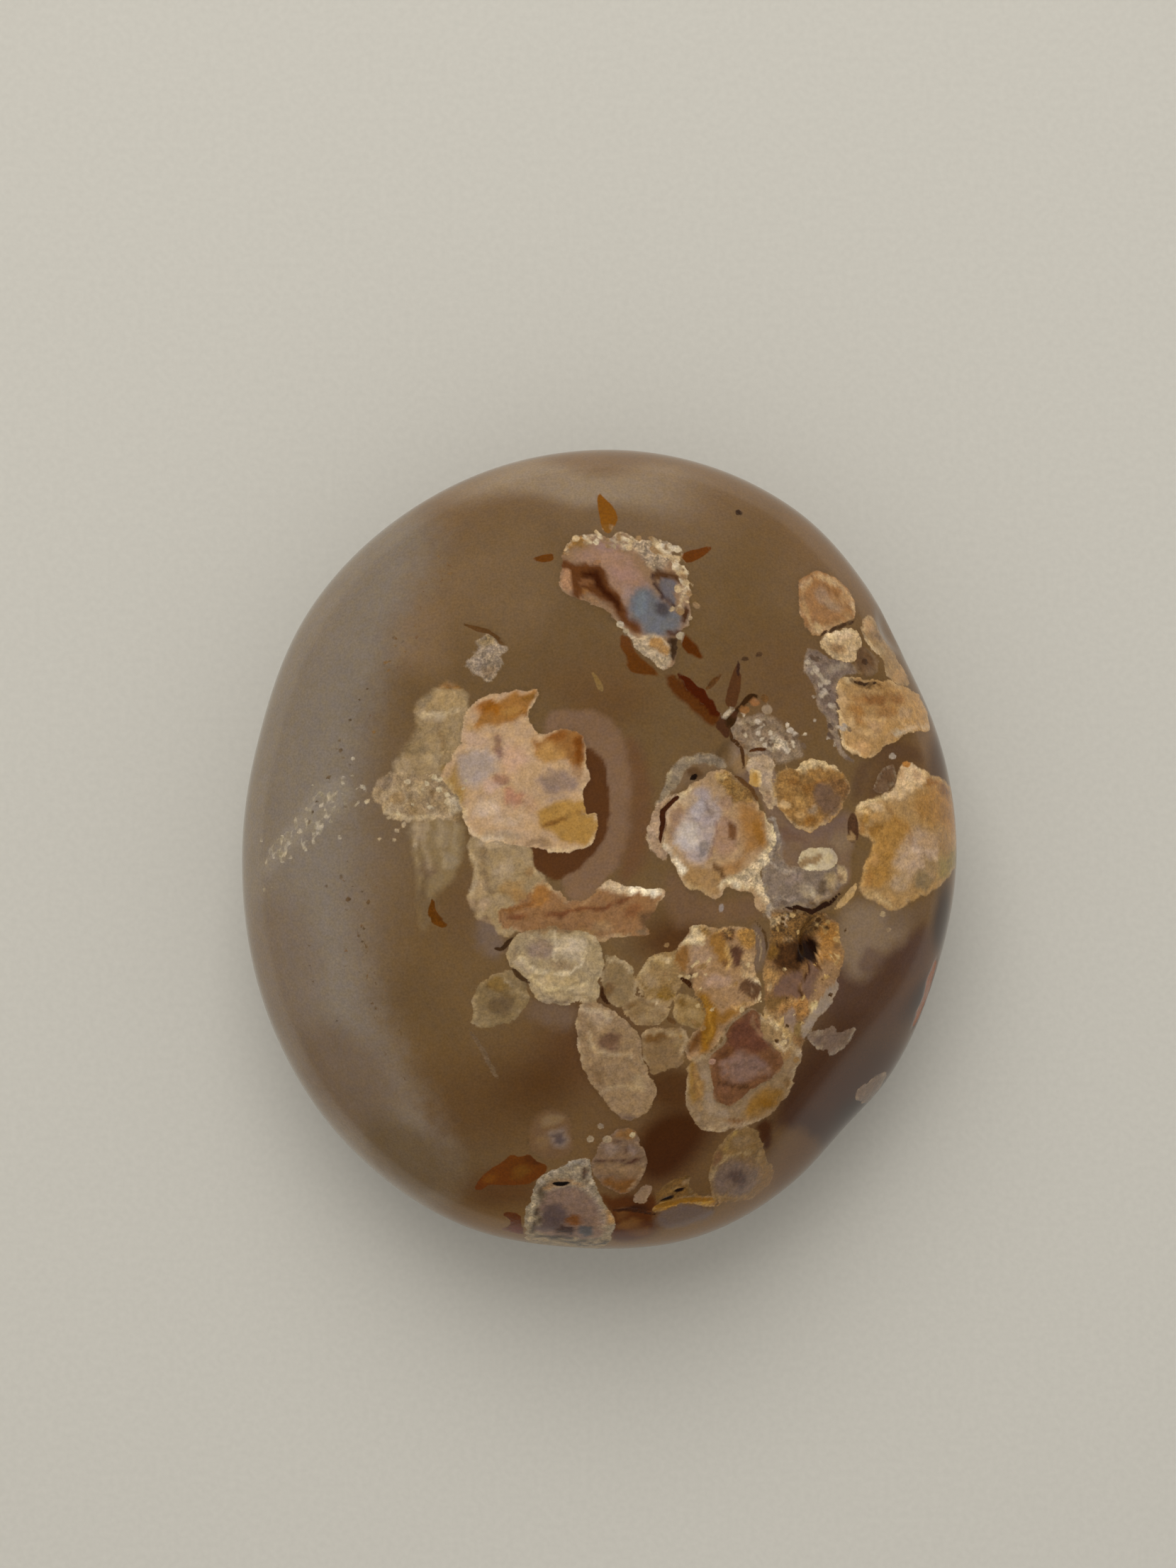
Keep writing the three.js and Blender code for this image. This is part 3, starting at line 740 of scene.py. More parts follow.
# The flowers on the right, about the dark hollow.
EAST_FLOWERS = (
    Plume(Tier.LOWER, "6.5,-5.85 6.3,-5.6 6.85,-5.25 7.8,-5.25 8.6,-5.55 9.25,-5.35 10.95,-5.5 11.3,-5.85 "
          "11.3,-7.1 11.4,-8.7 11.75,-9.25 12,-10.95 10.95,-11.2 9.35,-12.4 8.9,-13.9 7.3,-15.1 6.2,-15.1 "
          "6.65,-13.3 7.75,-12.2 7.75,-11.4 6.75,-9.95 6.5,-8.9 5.6,-8.45 5.3,-7.55", "#94734f", (
        Spot(7.3, -7.6, 0.9, 1, "#9b7d60"), Spot(8.6, -9.3, 1.2, 0.7, "#a2836b"),
        Spot(9.1, -7.8, 0.3, 0.2, "#6f4d2b"), Spot(11.2, -9.9, 0.2, 0.2, "#84694c"),
    ), (
        Streak("6.2,-6.4 6.8,-6.7 7.6,-6.5", 0.2, "#d0b88c", 0.8, 0.5),
        Streak("8.8,-5.7 9.3,-5.5 9.7,-5.9", 0.16, "#b48a4c", 0.8, 0.6),
        Streak("9.4,-6.8 9.5,-7.5 9.3,-8.1", 0.18, "#b48f56", 0.8, 0.4),
        Streak("10.6,-9 11.3,-9.2 11.8,-9.3", 0.2, "#d3bd92", 0.9, 0.5),
        Streak("11.9,-10 11.8,-10.6 11.4,-11", 0.2, "#cdb58a", 0.9, 0.5),
        Streak("7.6,-10.4 8,-11.4 8.1,-12.6 7.9,-13.8", 0.16, "#9d7026", 0.7),
        Streak("9.8,-11.5 10.8,-11 11.9,-11", 0.16, "#b08b58", 0.8, 0.4),
        Streak("6.6,-8.6 6.4,-9.2 6.4,-9.7", 0.25, "#38200e", 0.9),
    ), (
        Patch("5.2,-7.4 6,-6.8 6.5,-6.9 6.5,-7.8 6.2,-8.6 5.7,-8.9 5.3,-8.4", "#7d5629"),
        Patch("6.1,-6.8 6.6,-6 6.3,-5.6 6.9,-5.2 7.6,-5.3 7.8,-5.9 7.7,-6.5 7.1,-6.7 6.5,-6.8", "#bfa67c",
              0.12, 0.5),
        Patch("7.4,-5.2 8.2,-5.1 8.2,-5.8 7.8,-6.2 7.4,-5.8", "#8e6a37", 0.1, 0.5),
        Patch("8.1,-5.9 8.7,-5.6 9.3,-5.9 9.4,-6.6 9.6,-7.4 9.3,-8.1 8.7,-7.9 8.5,-7 8,-6.6", "#8b622c"),
        Patch("8.7,-5.7 9.3,-5.2 9.9,-5.4 10.2,-6.1 9.7,-6.8 9.3,-6.3", "#66421b", 0.12, 0.8),
        Patch("9.6,-6.8 10.3,-6.9 10.5,-7.5 10.3,-8.2 9.9,-8.3 9.6,-7.7", "#523525", 0.1),
        Patch("10.3,-5.5 11.1,-5.4 11.4,-6.2 11.1,-7.1 10.4,-6.9 10.2,-6.3", "#9b7033", 0.12, 0.6),
        Patch("10.4,-7.3 11.1,-7.2 11.4,-7.9 11.4,-8.8 11.9,-9.4 10.8,-9.3 10.2,-8.9 10.3,-8.2", "#a08058",
              0.12, 0.5),
        Patch("10.5,-9.3 11.8,-9.4 11.8,-10.1 11.4,-10.7 10.7,-10.4 10.3,-9.9", "#573c27", 0.1),
        Patch("7,-9.9 7.8,-10.2 8.4,-11.2 8.7,-12 8.5,-13.2 8,-14.2 7.3,-15.2 7.3,-13.6 7.5,-12.4 7.4,-11.4 "
              "7,-10.8", "#7f540e", 0.25),
        Patch("8.6,-11.7 9.6,-11.4 10.6,-11.2 9.7,-12 8.9,-12.7 8.4,-12.4", "#845b24", 0.2),
        Patch("6.3,-13.5 7.2,-13 7.6,-12.8 7.5,-13.8 7,-14.5 6.3,-14.9", "#643f1b", 0.2),
    ), skin=0.4, skin_width=0.22, grit=0.15),
    Plume(Tier.LOWER, "12.3,-4.6 13.3,-4.3 15.5,-4.5 16.6,-4.3 17.6,-5.3 17.75,-6.3 18.2,-7.15 18.2,-7.7 "
          "17.7,-9 16.8,-11 16.35,-11.4 14.9,-13.2 15.2,-14 14.95,-15 14.25,-14.1 12.65,-13.4 11.95,-11.95 "
          "12.2,-11.4 12,-9.6 12.05,-7.7 12.6,-6", "#7d5b37", (
        Spot(12.9, -4.9, 0.7, 0.3, "#a88d64"), Spot(13.7, -5, 0.3, 0.4, "#a98f6c"),
        Spot(13.7, -6.1, 0.35, 0.2, "#9c7a50"), Spot(16.1, -5.2, 0.3, 0.45, "#96754b"),
        Spot(12.6, -7.2, 0.4, 0.8, "#73501b"), Spot(12.5, -9.8, 0.35, 0.4, "#ae8e62"),
        Spot(14.6, -11.1, 0.5, 0.4, "#9c6d36"), Spot(16.8, -7.2, 0.5, 0.6, "#9e713a"),
    ), (
        Streak("15.6,-8.2 15.2,-9 14.9,-9.8 14.8,-10.5", 0.14, "#361b0c", 0.9),
        Streak("16.15,-7.9 16.1,-8.5 15.9,-9.2", 0.12, "#46270f", 0.8),
        Streak("16.3,-6.5 16.25,-7.2 16.3,-7.8", 0.14, "#b88f5b", 0.7),
        Streak("17.4,-9.8 16.9,-10.8 16.1,-11.8 15.3,-12.6 15,-13.4", 0.22, "#8f7d6a", 0.9, 0.3),
        Streak("17.5,-5.5 17.8,-6.2 17.5,-6.6", 0.14, "#b2884c", 0.8, 0.5),
        Streak("13,-11.6 13.6,-11.1 14.4,-10.9", 0.14, "#b58d55", 0.7, 0.5),
        Streak("12.2,-11.9 12.9,-12.2 13.4,-13 14,-13.7 14.6,-14.4", 0.3, "#b5935c", 0.9, 0.5),
        Streak("12.6,-12.2 13,-12.9 13.3,-13.3", 0.2, "#cdb283", 0.9, 0.5),
    ), (
        Patch("12.4,-4.9 13.4,-4.3 14.6,-4.3 15.8,-4.5 16.8,-4.3 17,-5 16.4,-6 15.8,-6.4 14.8,-6.5 "
              "13.8,-6.6 12.9,-7 12.3,-6.4", "#6c4b1f", 0.2, 0.9),
        Patch("12.7,-6.8 13.6,-6.5 14.4,-6.2 15.2,-6.2 16,-6.4 16.1,-7.4 16,-8.2 15.4,-8 14.9,-8.3 "
              "14.7,-8.8 13.6,-8.6 12.9,-8.4", "#43270b", 0.25, 0.5),
        Patch("14.3,-6.8 15.2,-6.6 16.1,-6.5 16.2,-8.1 15.5,-7.8 14.9,-8 14.3,-8", "#1b0e07", 0.12, 0.1),
        Patch("16.3,-6 16.8,-5.1 17.4,-5.1 17.8,-5.8 17.8,-6.5 17.2,-6.7 17.1,-7.8 16.3,-8 16.15,-7.2",
              "#96682f", 0.12, 0.4),
        Patch("17.1,-7 17.9,-7 18.3,-7.6 17.9,-8.3 17.3,-8.6 16.8,-8.2", "#99703f", grit=0.3),
        Patch("16.2,-8.1 17.2,-8 17.9,-8.5 17.6,-9.5 16.9,-10.4 16.4,-11.1 15.6,-11.3 15.2,-10.7 15.6,-9.8 "
              "16,-9", "#8b6c4b", grit=0.15),
        Patch("13.1,-9.2 13.9,-8.8 14.8,-8.8 15,-9.4 14.8,-10.1 14.7,-10.7 13.8,-10.8 13,-10.7 12.9,-9.9",
              "#6d5242", grit=0),
        Patch("15,-9.9 15.3,-9 15.5,-8.2 15.9,-7.9 16.1,-8.7 16,-9.6 15.6,-10.4 15.1,-10.8", "#6f5545", 0.1,
              0),
        Patch("12.1,-7.9 12.8,-8.4 13.3,-9 13.1,-9.7 12.6,-10.3 12,-9.8 12,-8.8", "#997342", grit=0.5),
        Patch("12.1,-10.4 13,-10.6 13.6,-10.9 13.4,-11.5 12.8,-11.9 12.1,-11.4", "#73552e", 0.12, 0.2),
        Patch("13.2,-11 14.2,-10.8 15.2,-10.6 15.6,-11.2 15.5,-12 15,-12.6 14.3,-12.2 13.6,-11.6 13,-12",
              "#946936", 0.12, 0.6),
        Patch("15.6,-11 16.4,-11 16.1,-11.7 15.7,-12.1", "#c6ae7c", 0.1, 0.3),
        Patch("13.2,-12.2 13.9,-11.6 14.4,-12 14.4,-12.8 14.2,-13.5 13.5,-13 13,-12.6", "#8a725e", 0.1, 0),
        Patch("14.4,-12.5 15,-12.6 15.1,-13.2 14.7,-14.1 14.1,-13.8 14.2,-13", "#7a6138", 0.1, 0.2),
    ), skin=0.2, skin_width=0.25, grit=0.35),
    Plume(Tier.LOWER, "17.8,-9.3 17.6,-10.4 16.8,-11.7 15.9,-12.6 15.4,-13.6 14.9,-13.9 15,-13 15.5,-12 "
          "16.2,-11.2 17,-10", "#8b7966", skin=0.2, skin_width=0.15, rings=0.1),
    Plume(Tier.LOWER, "11,-11.4 12,-11.95 13.75,-13.6 15.1,-14.95 14.7,-16.1 14.35,-17.7 13.2,-18.9 "
          "13,-19.35 11.35,-20.25 8.8,-20.7 7.1,-20.5 6.2,-18.25 6.5,-17.4 6.35,-15.6 6.9,-15.05 8,-14.8 "
          "9.2,-13.7 9.15,-12.85 10,-12", "#81694c", (
        Spot(7.2, -17, 0.4, 2, "#7c5b35"), Spot(12.5, -18.5, 0.7, 0.5, "#77511a"),
        Spot(10.4, -20.1, 1.2, 0.35, "#6f4d2d"), Spot(12.4, -13.2, 0.9, 0.9, "#8f714a"),
        Spot(13.6, -14.9, 0.6, 0.4, "#89673f"), Spot(14.2, -17.2, 0.5, 0.6, "#735736"),
    ), (
        Streak("13,-13.9 13.9,-14.4 14.9,-15.1", 0.2, "#bca482", 0.75, 0.4),
        Streak("7.3,-19.6 8.8,-20.2 10.4,-20.3 12,-19.9", 0.2, "#9c8567"),
        Streak("7.4,-18.9 7.3,-17.2 7.2,-15.8", 0.14, "#a3804d"),
    ), (
        Patch("11.4,-17.9 12.6,-17.3 13.5,-17.7 13.3,-18.6 12.2,-19.3 11.1,-19.8 10.6,-19.1", "#815d29",
              0.35),
        Patch("6.6,-15.2 7.2,-15.4 7.5,-16.8 7.2,-18.4 6.7,-18.6 6.4,-16.8", "#83622e", 0.25),
        Patch("7.7,-15.8 8.2,-15.6 8.3,-17.4 8.9,-18.9 9.9,-19.4 9.4,-20 8,-19.6 7.5,-18", "#8d775d", 0.2),
        Patch("11.9,-12 12.6,-12.6 13.4,-13.8 14.6,-14.9 13.9,-15.2 12.9,-14.2 12.1,-13.4", "#a3855b", 0.2,
              0.4),
    ), skin=0.45, skin_width=0.28),
    Plume(Tier.UPPER, "11,-11.6 11.7,-11.7 11.95,-12.5 11.95,-13.65 13.35,-14.65 13.6,-15.35 13.45,-16.35 "
          "12.65,-16.8 11,-17.5 9.9,-18.75 8.95,-18.7 8.4,-18 8.2,-17.2 8.1,-15.2 8.5,-14.5 9.35,-13.9 "
          "9.2,-13.25 9.6,-12.5", "#69462c", (
        Spot(9.4, -14.8, 0.7, 0.6, "#5d3b22"), Spot(10.6, -15.9, 1.7, 0.7, "#74594a", share=0.95, core=0.4),
        Spot(9, -17.3, 0.6, 0.6, "#754f36"), Spot(12.2, -16.3, 0.7, 0.4, "#7c5c46"),
    ), (
        Streak("8.5,-16.9 9.6,-17 11,-17.4", 0.14, "#3c2411", 0.7),
        Streak("9.4,-14 9.9,-15.2 9.2,-16.2", 0.16, "#7d5638", 0.5),
        Streak("11.4,-12 11.6,-13.4 12.3,-14", 0.16, "#8b6a4b"),
    ), (
        Patch("10,-12.6 11.2,-11.9 11.9,-12.2 12,-13.6 12.6,-14.4 11.6,-14.8 10.2,-14.8 9,-15.2 9.2,-14",
              "#5f3a29", 0.3),
        Patch("9,-15.4 10.2,-14.9 11.8,-15 12.6,-15.8 11.8,-16.6 10.4,-16.8 9.2,-16.6", "#7b6053", 0.4),
    ), skin=0.45, skin_width=0.22, skin_colour="#94795a", rings=0.6),
    Plume(Tier.LOWER, "15.1,-13.4 15.9,-13.4 17.15,-12.95 17.45,-13.05 17.7,-13.55 18.45,-13.1 19.1,-13.1 "
          "19.3,-13.4 18.4,-14.7 17.65,-15.15 17.2,-15.15 16.9,-14.75 15.7,-14.3", "#6f5b4b", skin=0.55,
          skin_width=0.3, skin_colour="#a6957b", grit=0.2, depth=3),
    Plume(Tier.LOWER, "19.55,-18.7 19.9,-18.2 20.8,-17.85 21.2,-17.3 21.9,-17.1 22.4,-17.35 22.3,-17.9 "
          "21.5,-19.3 20.85,-20 19.75,-19.15", "#716052", skin=0.55, skin_width=0.25, skin_colour="#9c8c74",
          grit=0.2, depth=2),
    Plume(Tier.LOWER, "5.7,4.4 4.3,3.4 3.85,2.6 3.9,1.1 4.3,.6 5.2,.4 5.6,2.4 6.2,4", "#8a6a4e", (
        Spot(4.3, 1.3, 0.5, 0.5, "#765536"), Spot(4.2, 2.5, 0.4, 0.8, "#a98c71"),
        Spot(4.9, 3.8, 0.5, 0.4, "#98795b"),
    ), skin=0.45, skin_width=0.25),
    Plume(Tier.LOWER, "4,3 4.4,4.3 4.8,5.4 5.2,6.3 6,7 7.4,7.35 8.8,7 9.4,6.3 8.5,6.25 7.4,6.6 6.5,6.2 "
          "6,5.6 5.5,4.7 4.9,3.9", "#85735b", (
        Spot(6.2, 7.1, 0.8, 0.4, "#958267"), Spot(4.7, 5.4, 0.3, 0.8, "#988667", -30),
    ), skin=0.3, skin_width=0.2, grit=0.35, soft=0.12),
    Plume(Tier.LOWER, "12.1,2.8 12.9,2.2 13.3,.6 12.9,-.8 13,-2.4 12.9,-3.6 12.8,-4.9 12.2,-4.9 12,-3 "
          "11.8,-1.4 12.4,0 12.5,1.4", "#958471", (
        Spot(12.4, -2.8, 0.5, 1, "#a5957c"), Spot(12.9, 0.4, 0.4, 0.8, "#766452"),
    ), skin=0.3, skin_width=0.25, grit=0.4, ragged=0.3, soft=0.12),
    Plume(Tier.LOWER, "9.5,9.8 10.2,9.8 10.6,8.8 11.2,8 12.2,7.5 12.9,6.6 12.6,5.4 11.9,5.9 11.2,7 10.2,7.4 "
          "9.6,8.2", "#86715a", (
        Spot(10.4, 8.2, 0.6, 0.6, "#7d5f40"), Spot(11.4, 7.4, 0.5, 0.4, "#8e7a63"),
    ), skin=0.3, skin_width=0.25, grit=0.35, ragged=0.3, soft=0.15),
    Plume(Tier.LOWER, "3.9,3.2 3.5,2.2 3.4,1.2 3.7,.2 4.3,-.6 4.9,-.6 4.7,.6 4.6,1.9 5,2.9 5.8,3.8 5.1,4.2 "
          "4.4,3.9", "#9d8062", (
        Spot(4.1, 1.8, 0.4, 0.8, "#b09274"), Spot(4.9, 3.7, 0.5, 0.3, "#8f7150", 50),
    ), skin_width=0.25, skin_colour="#c2ab86", grit=0.3, ragged=0.12),
    Plume(Tier.UPPER, "4.7,.7 4.7,2.5 4.9,3.15 5.45,3.7 6,4.7 8.1,5.95 9.2,6.25 10.35,5.35 11.7,3.7 "
          "11.6,3.35 12,3.05 12.8,1.25 12.65,.2 12.3,-.15 12.45,-.6 11.6,-1.35 12.2,-2.9 12.25,-4.35 "
          "11.95,-4.55 11.8,-4 11.6,-4.55 11.25,-3.15 10.8,-2.8 10.35,-2.9 9.95,-2.55 9.2,-2.4 8.9,-3.15 "
          "8.65,-3.15 8.3,-3.6 7.2,-2.7 6.65,-2.65 6.05,-2.05 6.1,-1.8 5.7,-1.45 5.6,-1.05 5.15,-.7 5,-.15 "
          "4.5,.2 4.4,.5", "#a2835f", (
        Spot(6.5, 1.3, 1.1, 1.2, "#b7a99c"), Spot(7.5, 0.5, 0.4, 0.8, "#82756e", -15),
        Spot(8, 3.4, 0.9, 0.35, "#89776d", -60), Spot(7.2, 3.4, 0.6, 0.8, "#a89a92"),
        Spot(6.3, 4, 0.8, 0.5, "#b39878"), Spot(9.3, 3.7, 0.6, 0.7, "#98785c"),
        Spot(10.9, 4.3, 0.5, 0.4, "#7d5a2c"), Spot(8.8, 5.7, 0.7, 0.3, "#b1905c"),
        Spot(11.6, 1.5, 0.4, 0.9, "#8d5f26", 8), Spot(12.2, -0.3, 0.8, 0.7, "#c6b08a", grit=0.7),
        Spot(11.8, -1.4, 0.25, 0.35, "#543a26"), Spot(11, -2.1, 0.2, 0.15, "#6a4f33"),
    ), (
        Streak("4.7,.4 5.1,-.2 5.6,-.6 6,-1.1", 0.42, "#e4d4b5", 0.95, 0.5),
        Streak("4.9,3.1 4.85,2.3 4.8,1.4 4.8,.8", 0.18, "#c2a78b", 0.7),
        Streak("9.9,5.9 10.8,5 11.6,3.7", 0.18, "#4b2e10", 0.8),
        Streak("8.5,-.9 8.9,-1.3 9.1,-1.8", 0.18, "#5f3e1c", 0.85),
        Streak("12.1,3 12.5,2 12.75,1 12.6,0", 0.24, "#d9c396", 0.85, 0.3),
        Streak("6.1,-2 6.7,-2.5 7.6,-2.9 8.1,-3.4", 0.2, "#b89a6b", 0.7),
        Streak("8.3,2.4 8.5,1.6 8.2,.6 8,-.4", 0.12, "#87685a", 0.7),
        Streak("9.2,5.4 9.8,4.8 10.4,4.9", 0.14, "#63421b", 0.7, 0.4),
        Streak("9.6,4.4 10.2,4 10.8,4.3 11.2,4", 0.14, "#68461f", 0.7, 0.4),
        Streak("5.3,3.5 5.8,4.2 6.5,4.8", 0.2, "#ceb890", 0.7),
        Streak("8.9,-2.6 9.2,-2.1 9.8,-2.2 10.6,-2.6", 0.2, "#d6c39c", 0.8, 0.5),
    ), (
        Patch("5.2,3.3 6,3.5 6.4,2.8 6,2.2 5.5,1.3 5.1,1 5,2", "#93745b", 0.25),
        Patch("7,4.9 8,4.7 8.7,3.9 8.9,2.8 8.4,2.2 8.2,1.2 8,.2 7.6,-.8 6.9,-.6 6.3,0 5.7,.6 5.4,1.5 6,2.3 "
              "6.4,3.2 6.6,4.2", "#a39188", 0.35),
        Patch("8.5,2.1 9,2.8 9.9,2.7 10.3,1.8 10.2,.6 9.4,-.3 8.6,-.5 8.2,.4 8.4,1.2", "#98775d", 0.25),
        Patch("8.6,6.1 9.3,6.3 10,5.6 10.8,5 11.6,4 11.3,3.5 10.6,3.8 9.9,3.4 9.6,4.3 9,5 8.5,5.4",
              "#87642f", grit=0.6),
        Patch("10.2,3.4 10.9,3.7 11.6,3.3 12,2.4 12.1,1.4 11.6,.6 10.8,-.1 9.9,-.7 9,-1 8.7,-1.4 9.4,-1.6 "
              "10.3,-1.2 10.6,-.2 10.5,1.2 10.4,2.4", "#966a38", 0.5),
        Patch("12,2.9 12.6,2.2 12.9,1.2 12.8,0 12.4,-1 12.5,-2.4 12.2,-3.6 11.6,-3.1 11,-2.5 10,-2.3 "
              "9.2,-2.2 9.6,-1.6 10.6,-1.4 11.4,-.6 12,.4 12.3,1.6", "#bfa781", grit=0.7),
        Patch("6.1,-.4 7,-.9 7.8,-1.1 8.8,-1.2 9,-1.9 8.9,-2.7 8.4,-3.5 7.6,-3.1 6.8,-2.6 6.1,-2 5.9,-1.1",
              "#96744a"),
        Patch("9.35,2.15 10,2.3 10.3,1.2 9.45,0.95", "#6a4527", 0.1),
    ), skin=0.35, skin_width=0.25),
    Plume(Tier.LOWER, "10,9.6 11.05,10.1 12.05,10.2 13.2,9.6 14.6,8.2 15.1,7.1 14.35,7 13.7,6.5 13.1,6.5 "
          "11.95,7.5 11.3,7.6 10.2,8.2 9.9,8.85", "#836d55", (
        Spot(13.2, 8, 0.8, 0.6, "#b8a385", 20, grit=0.9), Spot(12.6, 7.7, 0.5, 0.5, "#ab9575"),
        Spot(11.4, 8.1, 0.7, 0.5, "#9a8468"),
    ), (
        Streak("12.9,8.6 13.5,8.2 13.8,7.5", 0.25, "#cab699", 0.8, 0.9),
        Streak("10.4,9.6 11.4,9.6 12.2,10", 0.18, "#a28e70", 0.5, 0.8),
    ), skin=0.15, grit=0.35, soft=0.2),
    Plume(Tier.LOWER, "10.9,6.9 11.6,7.2 12.6,6.8 13,6.3 12.6,5.9 13.1,3.8 12.7,3 12.2,3.4 11.8,4.3 "
          "10.6,5.8", "#a58b6c", (
        Spot(11.3, 6.2, 0.6, 0.5, "#af957a"), Spot(12.3, 5.4, 0.5, 0.8, "#ae957a"),
        Spot(12.4, 3.8, 0.4, 0.8, "#8d7257"),
    ), (
        Streak("10.9,6.7 11.3,6 11.3,5.2", 0.22, "#c3aa84", grit=0.5),
    ), skin=0.3, grit=0.3),
    Plume(Tier.UPPER, "10.9,5.9 11.3,6.1 11.8,5.9 12,5.3 11.8,4.7 11.3,4.6 10.9,5 10.7,5.5", "#b08a4e", (
        Spot(11.35, 5.3, 0.4, 0.4, "#a47b3c"),
    ), skin=0.8, skin_width=0.25, skin_colour="#cdb78f", rings=0, depth=3),
    Plume(Tier.LOWER, "13,5.7 13.6,6.2 14.6,6.35 15.1,6.85 15.75,7 17.95,5.95 18.3,5.35 18.45,4.5 "
          "18.05,3.25 17,2.4 15.75,1.5 15.1,1.45 13.1,3 12.85,4.75", "#8d6736", (
        Spot(13.5, 4.8, 0.5, 0.4, "#a37a42"), Spot(14.3, 5.2, 0.5, 0.3, "#7c5425"),
        Spot(14.7, 3.9, 0.5, 0.5, "#9d7742"), Spot(14.7, 2.9, 0.5, 0.4, "#b28a53"),
        Spot(15.4, 2.4, 0.45, 0.4, "#85571f"), Spot(15.4, 4.9, 0.7, 0.4, "#7c5424"),
        Spot(16.4, 5.2, 0.8, 0.3, "#835a2a"), Spot(15.6, 3.3, 0.5, 0.4, "#947a5c"),
        Spot(13.5, 3.6, 0.4, 0.3, "#bb9a6b"),
    ), (
        Streak("13.2,2.9 14.1,2.2 15.2,1.6 15.9,1.6 16.7,2.2", 0.2, "#b09268", 0.8, 0.3),
        Streak("16.5,2.3 17.2,2.9 17.9,3.2", 0.18, "#8b7055", 0.8, 0.4),
        Streak("18.4,3.6 18.5,4.6 18.2,5.6", 0.16, "#8f7554", 0.7, 0.3),
    ), (
        Patch("14.1,6.4 15,6 16,6.2 17,5.9 18,5.9 17.1,6.4 16.2,7 15.3,7 14.6,6.8", "#c2a678", 0.12, 0.5),
        Patch("15.9,5 16.7,5.1 17.4,4.7 17.9,4.1 17.8,3.2 17,2.8 16.2,3.1 15.8,3.8 15.6,4.4", "#6a513d", 0.3,
              0.1),
        Patch("17.2,5.5 18.3,5.5 18.5,4.4 18.2,3.4 17.8,4.2 17.2,4.8", "#72502c", grit=0.5),
    ), skin_width=0.25, skin_colour="#c0a678", grit=0.4, ragged=0.2),
    Plume(Tier.LOWER, "13.1,.3 13.6,-.9 14.6,-.9 17.7,-.75 18.3,-1.25 18.05,-2.25 16.75,-3.5 15.75,-4.1 "
          "14.6,-4 12.8,-4.2 12.3,-3.6 12.2,-2.5 11.8,-1.6", "#7d6b59", (
        Spot(14.2, -1.6, 0.8, 0.5, "#877467"), Spot(13.4, -3.6, 0.7, 0.4, "#655447"),
        Spot(15.3, -2.6, 0.6, 0.6, "#9a876e"), Spot(15.8, -2.8, 0.4, 0.5, "#bda98a", grit=0.25),
        Spot(16.5, -2.4, 0.4, 0.6, "#5d4b38"), Spot(15.6, -3.7, 0.5, 0.3, "#624a2e"),
        Spot(16.2, -3.3, 0.5, 0.3, "#968062"), Spot(17.2, -1.9, 0.5, 0.6, "#9c845e"),
        Spot(17.9, -1.6, 0.4, 0.6, "#84694b"), Spot(17.4, -2.7, 0.4, 0.3, "#776148"),
    ), (
        Streak("12.6,-.6 13.4,-1 14.2,-1.1", 0.18, "#a2907c", grit=0.7),
        Streak("12.5,-3.2 13.5,-3.1 14.6,-3.5", 0.18, "#978675", 0.5, 0.7),
        Streak("17.6,-.9 18.1,-1.4 18,-2", 0.18, "#bda276", grit=0.5),
    ), skin=0.3, grit=0.25, soft=0.12),
    Plume(Tier.UPPER, "14.5,-.5 14.75,.05 15.4,.35 17,.3 17.45,-.1 17.5,-.6 17.2,-1.1 16.5,-1.35 15,-1.25 "
          "14.6,-.95", "#b6a380", (
        Spot(17.1, -0.2, 0.35, 0.6, "#a3917a"), Spot(16.4, 0.25, 0.7, 0.15, "#cbbb98"),
        Spot(15.4, -1.2, 0.8, 0.2, "#cfc09e"),
    ), patches=(
        Patch("14.5,-.55 14.9,-.2 15.6,-.1 16.2,-.35 16.2,-.8 15.6,-1.15 14.9,-1.1", "#886d4b", 0.08),
    ), skin=0.3, skin_width=0.15, skin_colour="#d4c5a4", rings=0.1, ragged=0.06),
    Plume(Tier.LOWER, "18.8,2.95 19.4,3.8 21.6,4.35 21.95,4.7 22.2,6 22.8,6.5 23.35,6.6 24.3,6.1 26,5.5 "
          "27.6,4.4 28.8,2 29,0 28.4,-1.2 26.8,-1.75 26.2,-2.5 25.2,-3.1 23.15,-3.75 22.45,-4.35 21.5,-4.45 "
          "20.5,-3.6 19.5,-3.4 19.15,-2.4 19.5,-1.05 20.35,.6 20,1.2 19.15,1.2 19.2,1.95", "#9b7a4e", (
        Spot(19.3, 3.2, 0.6, 0.4, "#b5935f"), Spot(20.7, 3.4, 0.7, 0.4, "#b99a70"),
        Spot(22.6, 5.7, 0.5, 0.7, "#b08e66"), Spot(23.3, 5.5, 0.6, 0.9, "#c6a981"),
        Spot(23.9, 5.7, 0.4, 0.5, "#b39370"), Spot(25, 5.1, 0.8, 0.4, "#835a2b"),
        Spot(26.2, 4.5, 0.8, 0.5, "#76542f"), Spot(19.5, 2.4, 0.4, 0.5, "#9a7239"),
        Spot(20.3, 2.6, 0.7, 0.4, "#b0864f"), Spot(26.2, 2.8, 0.7, 0.9, "#8b683d"),
        Spot(19.4, 1.6, 0.4, 0.4, "#956b38"), Spot(20.4, 1.6, 0.6, 0.4, "#8b622c"),
        Spot(24.8, 0.6, 1.2, 0.7, "#a28463"), Spot(26.2, 0.4, 0.7, 1.2, "#8f704a"),
        Spot(20.3, -0.5, 0.6, 0.5, "#a97f4b"), Spot(23, -0.8, 1.2, 0.8, "#ad9173"),
        Spot(25, -1, 0.9, 0.6, "#8c7350"), Spot(19.8, -2, 0.5, 0.7, "#996e39"),
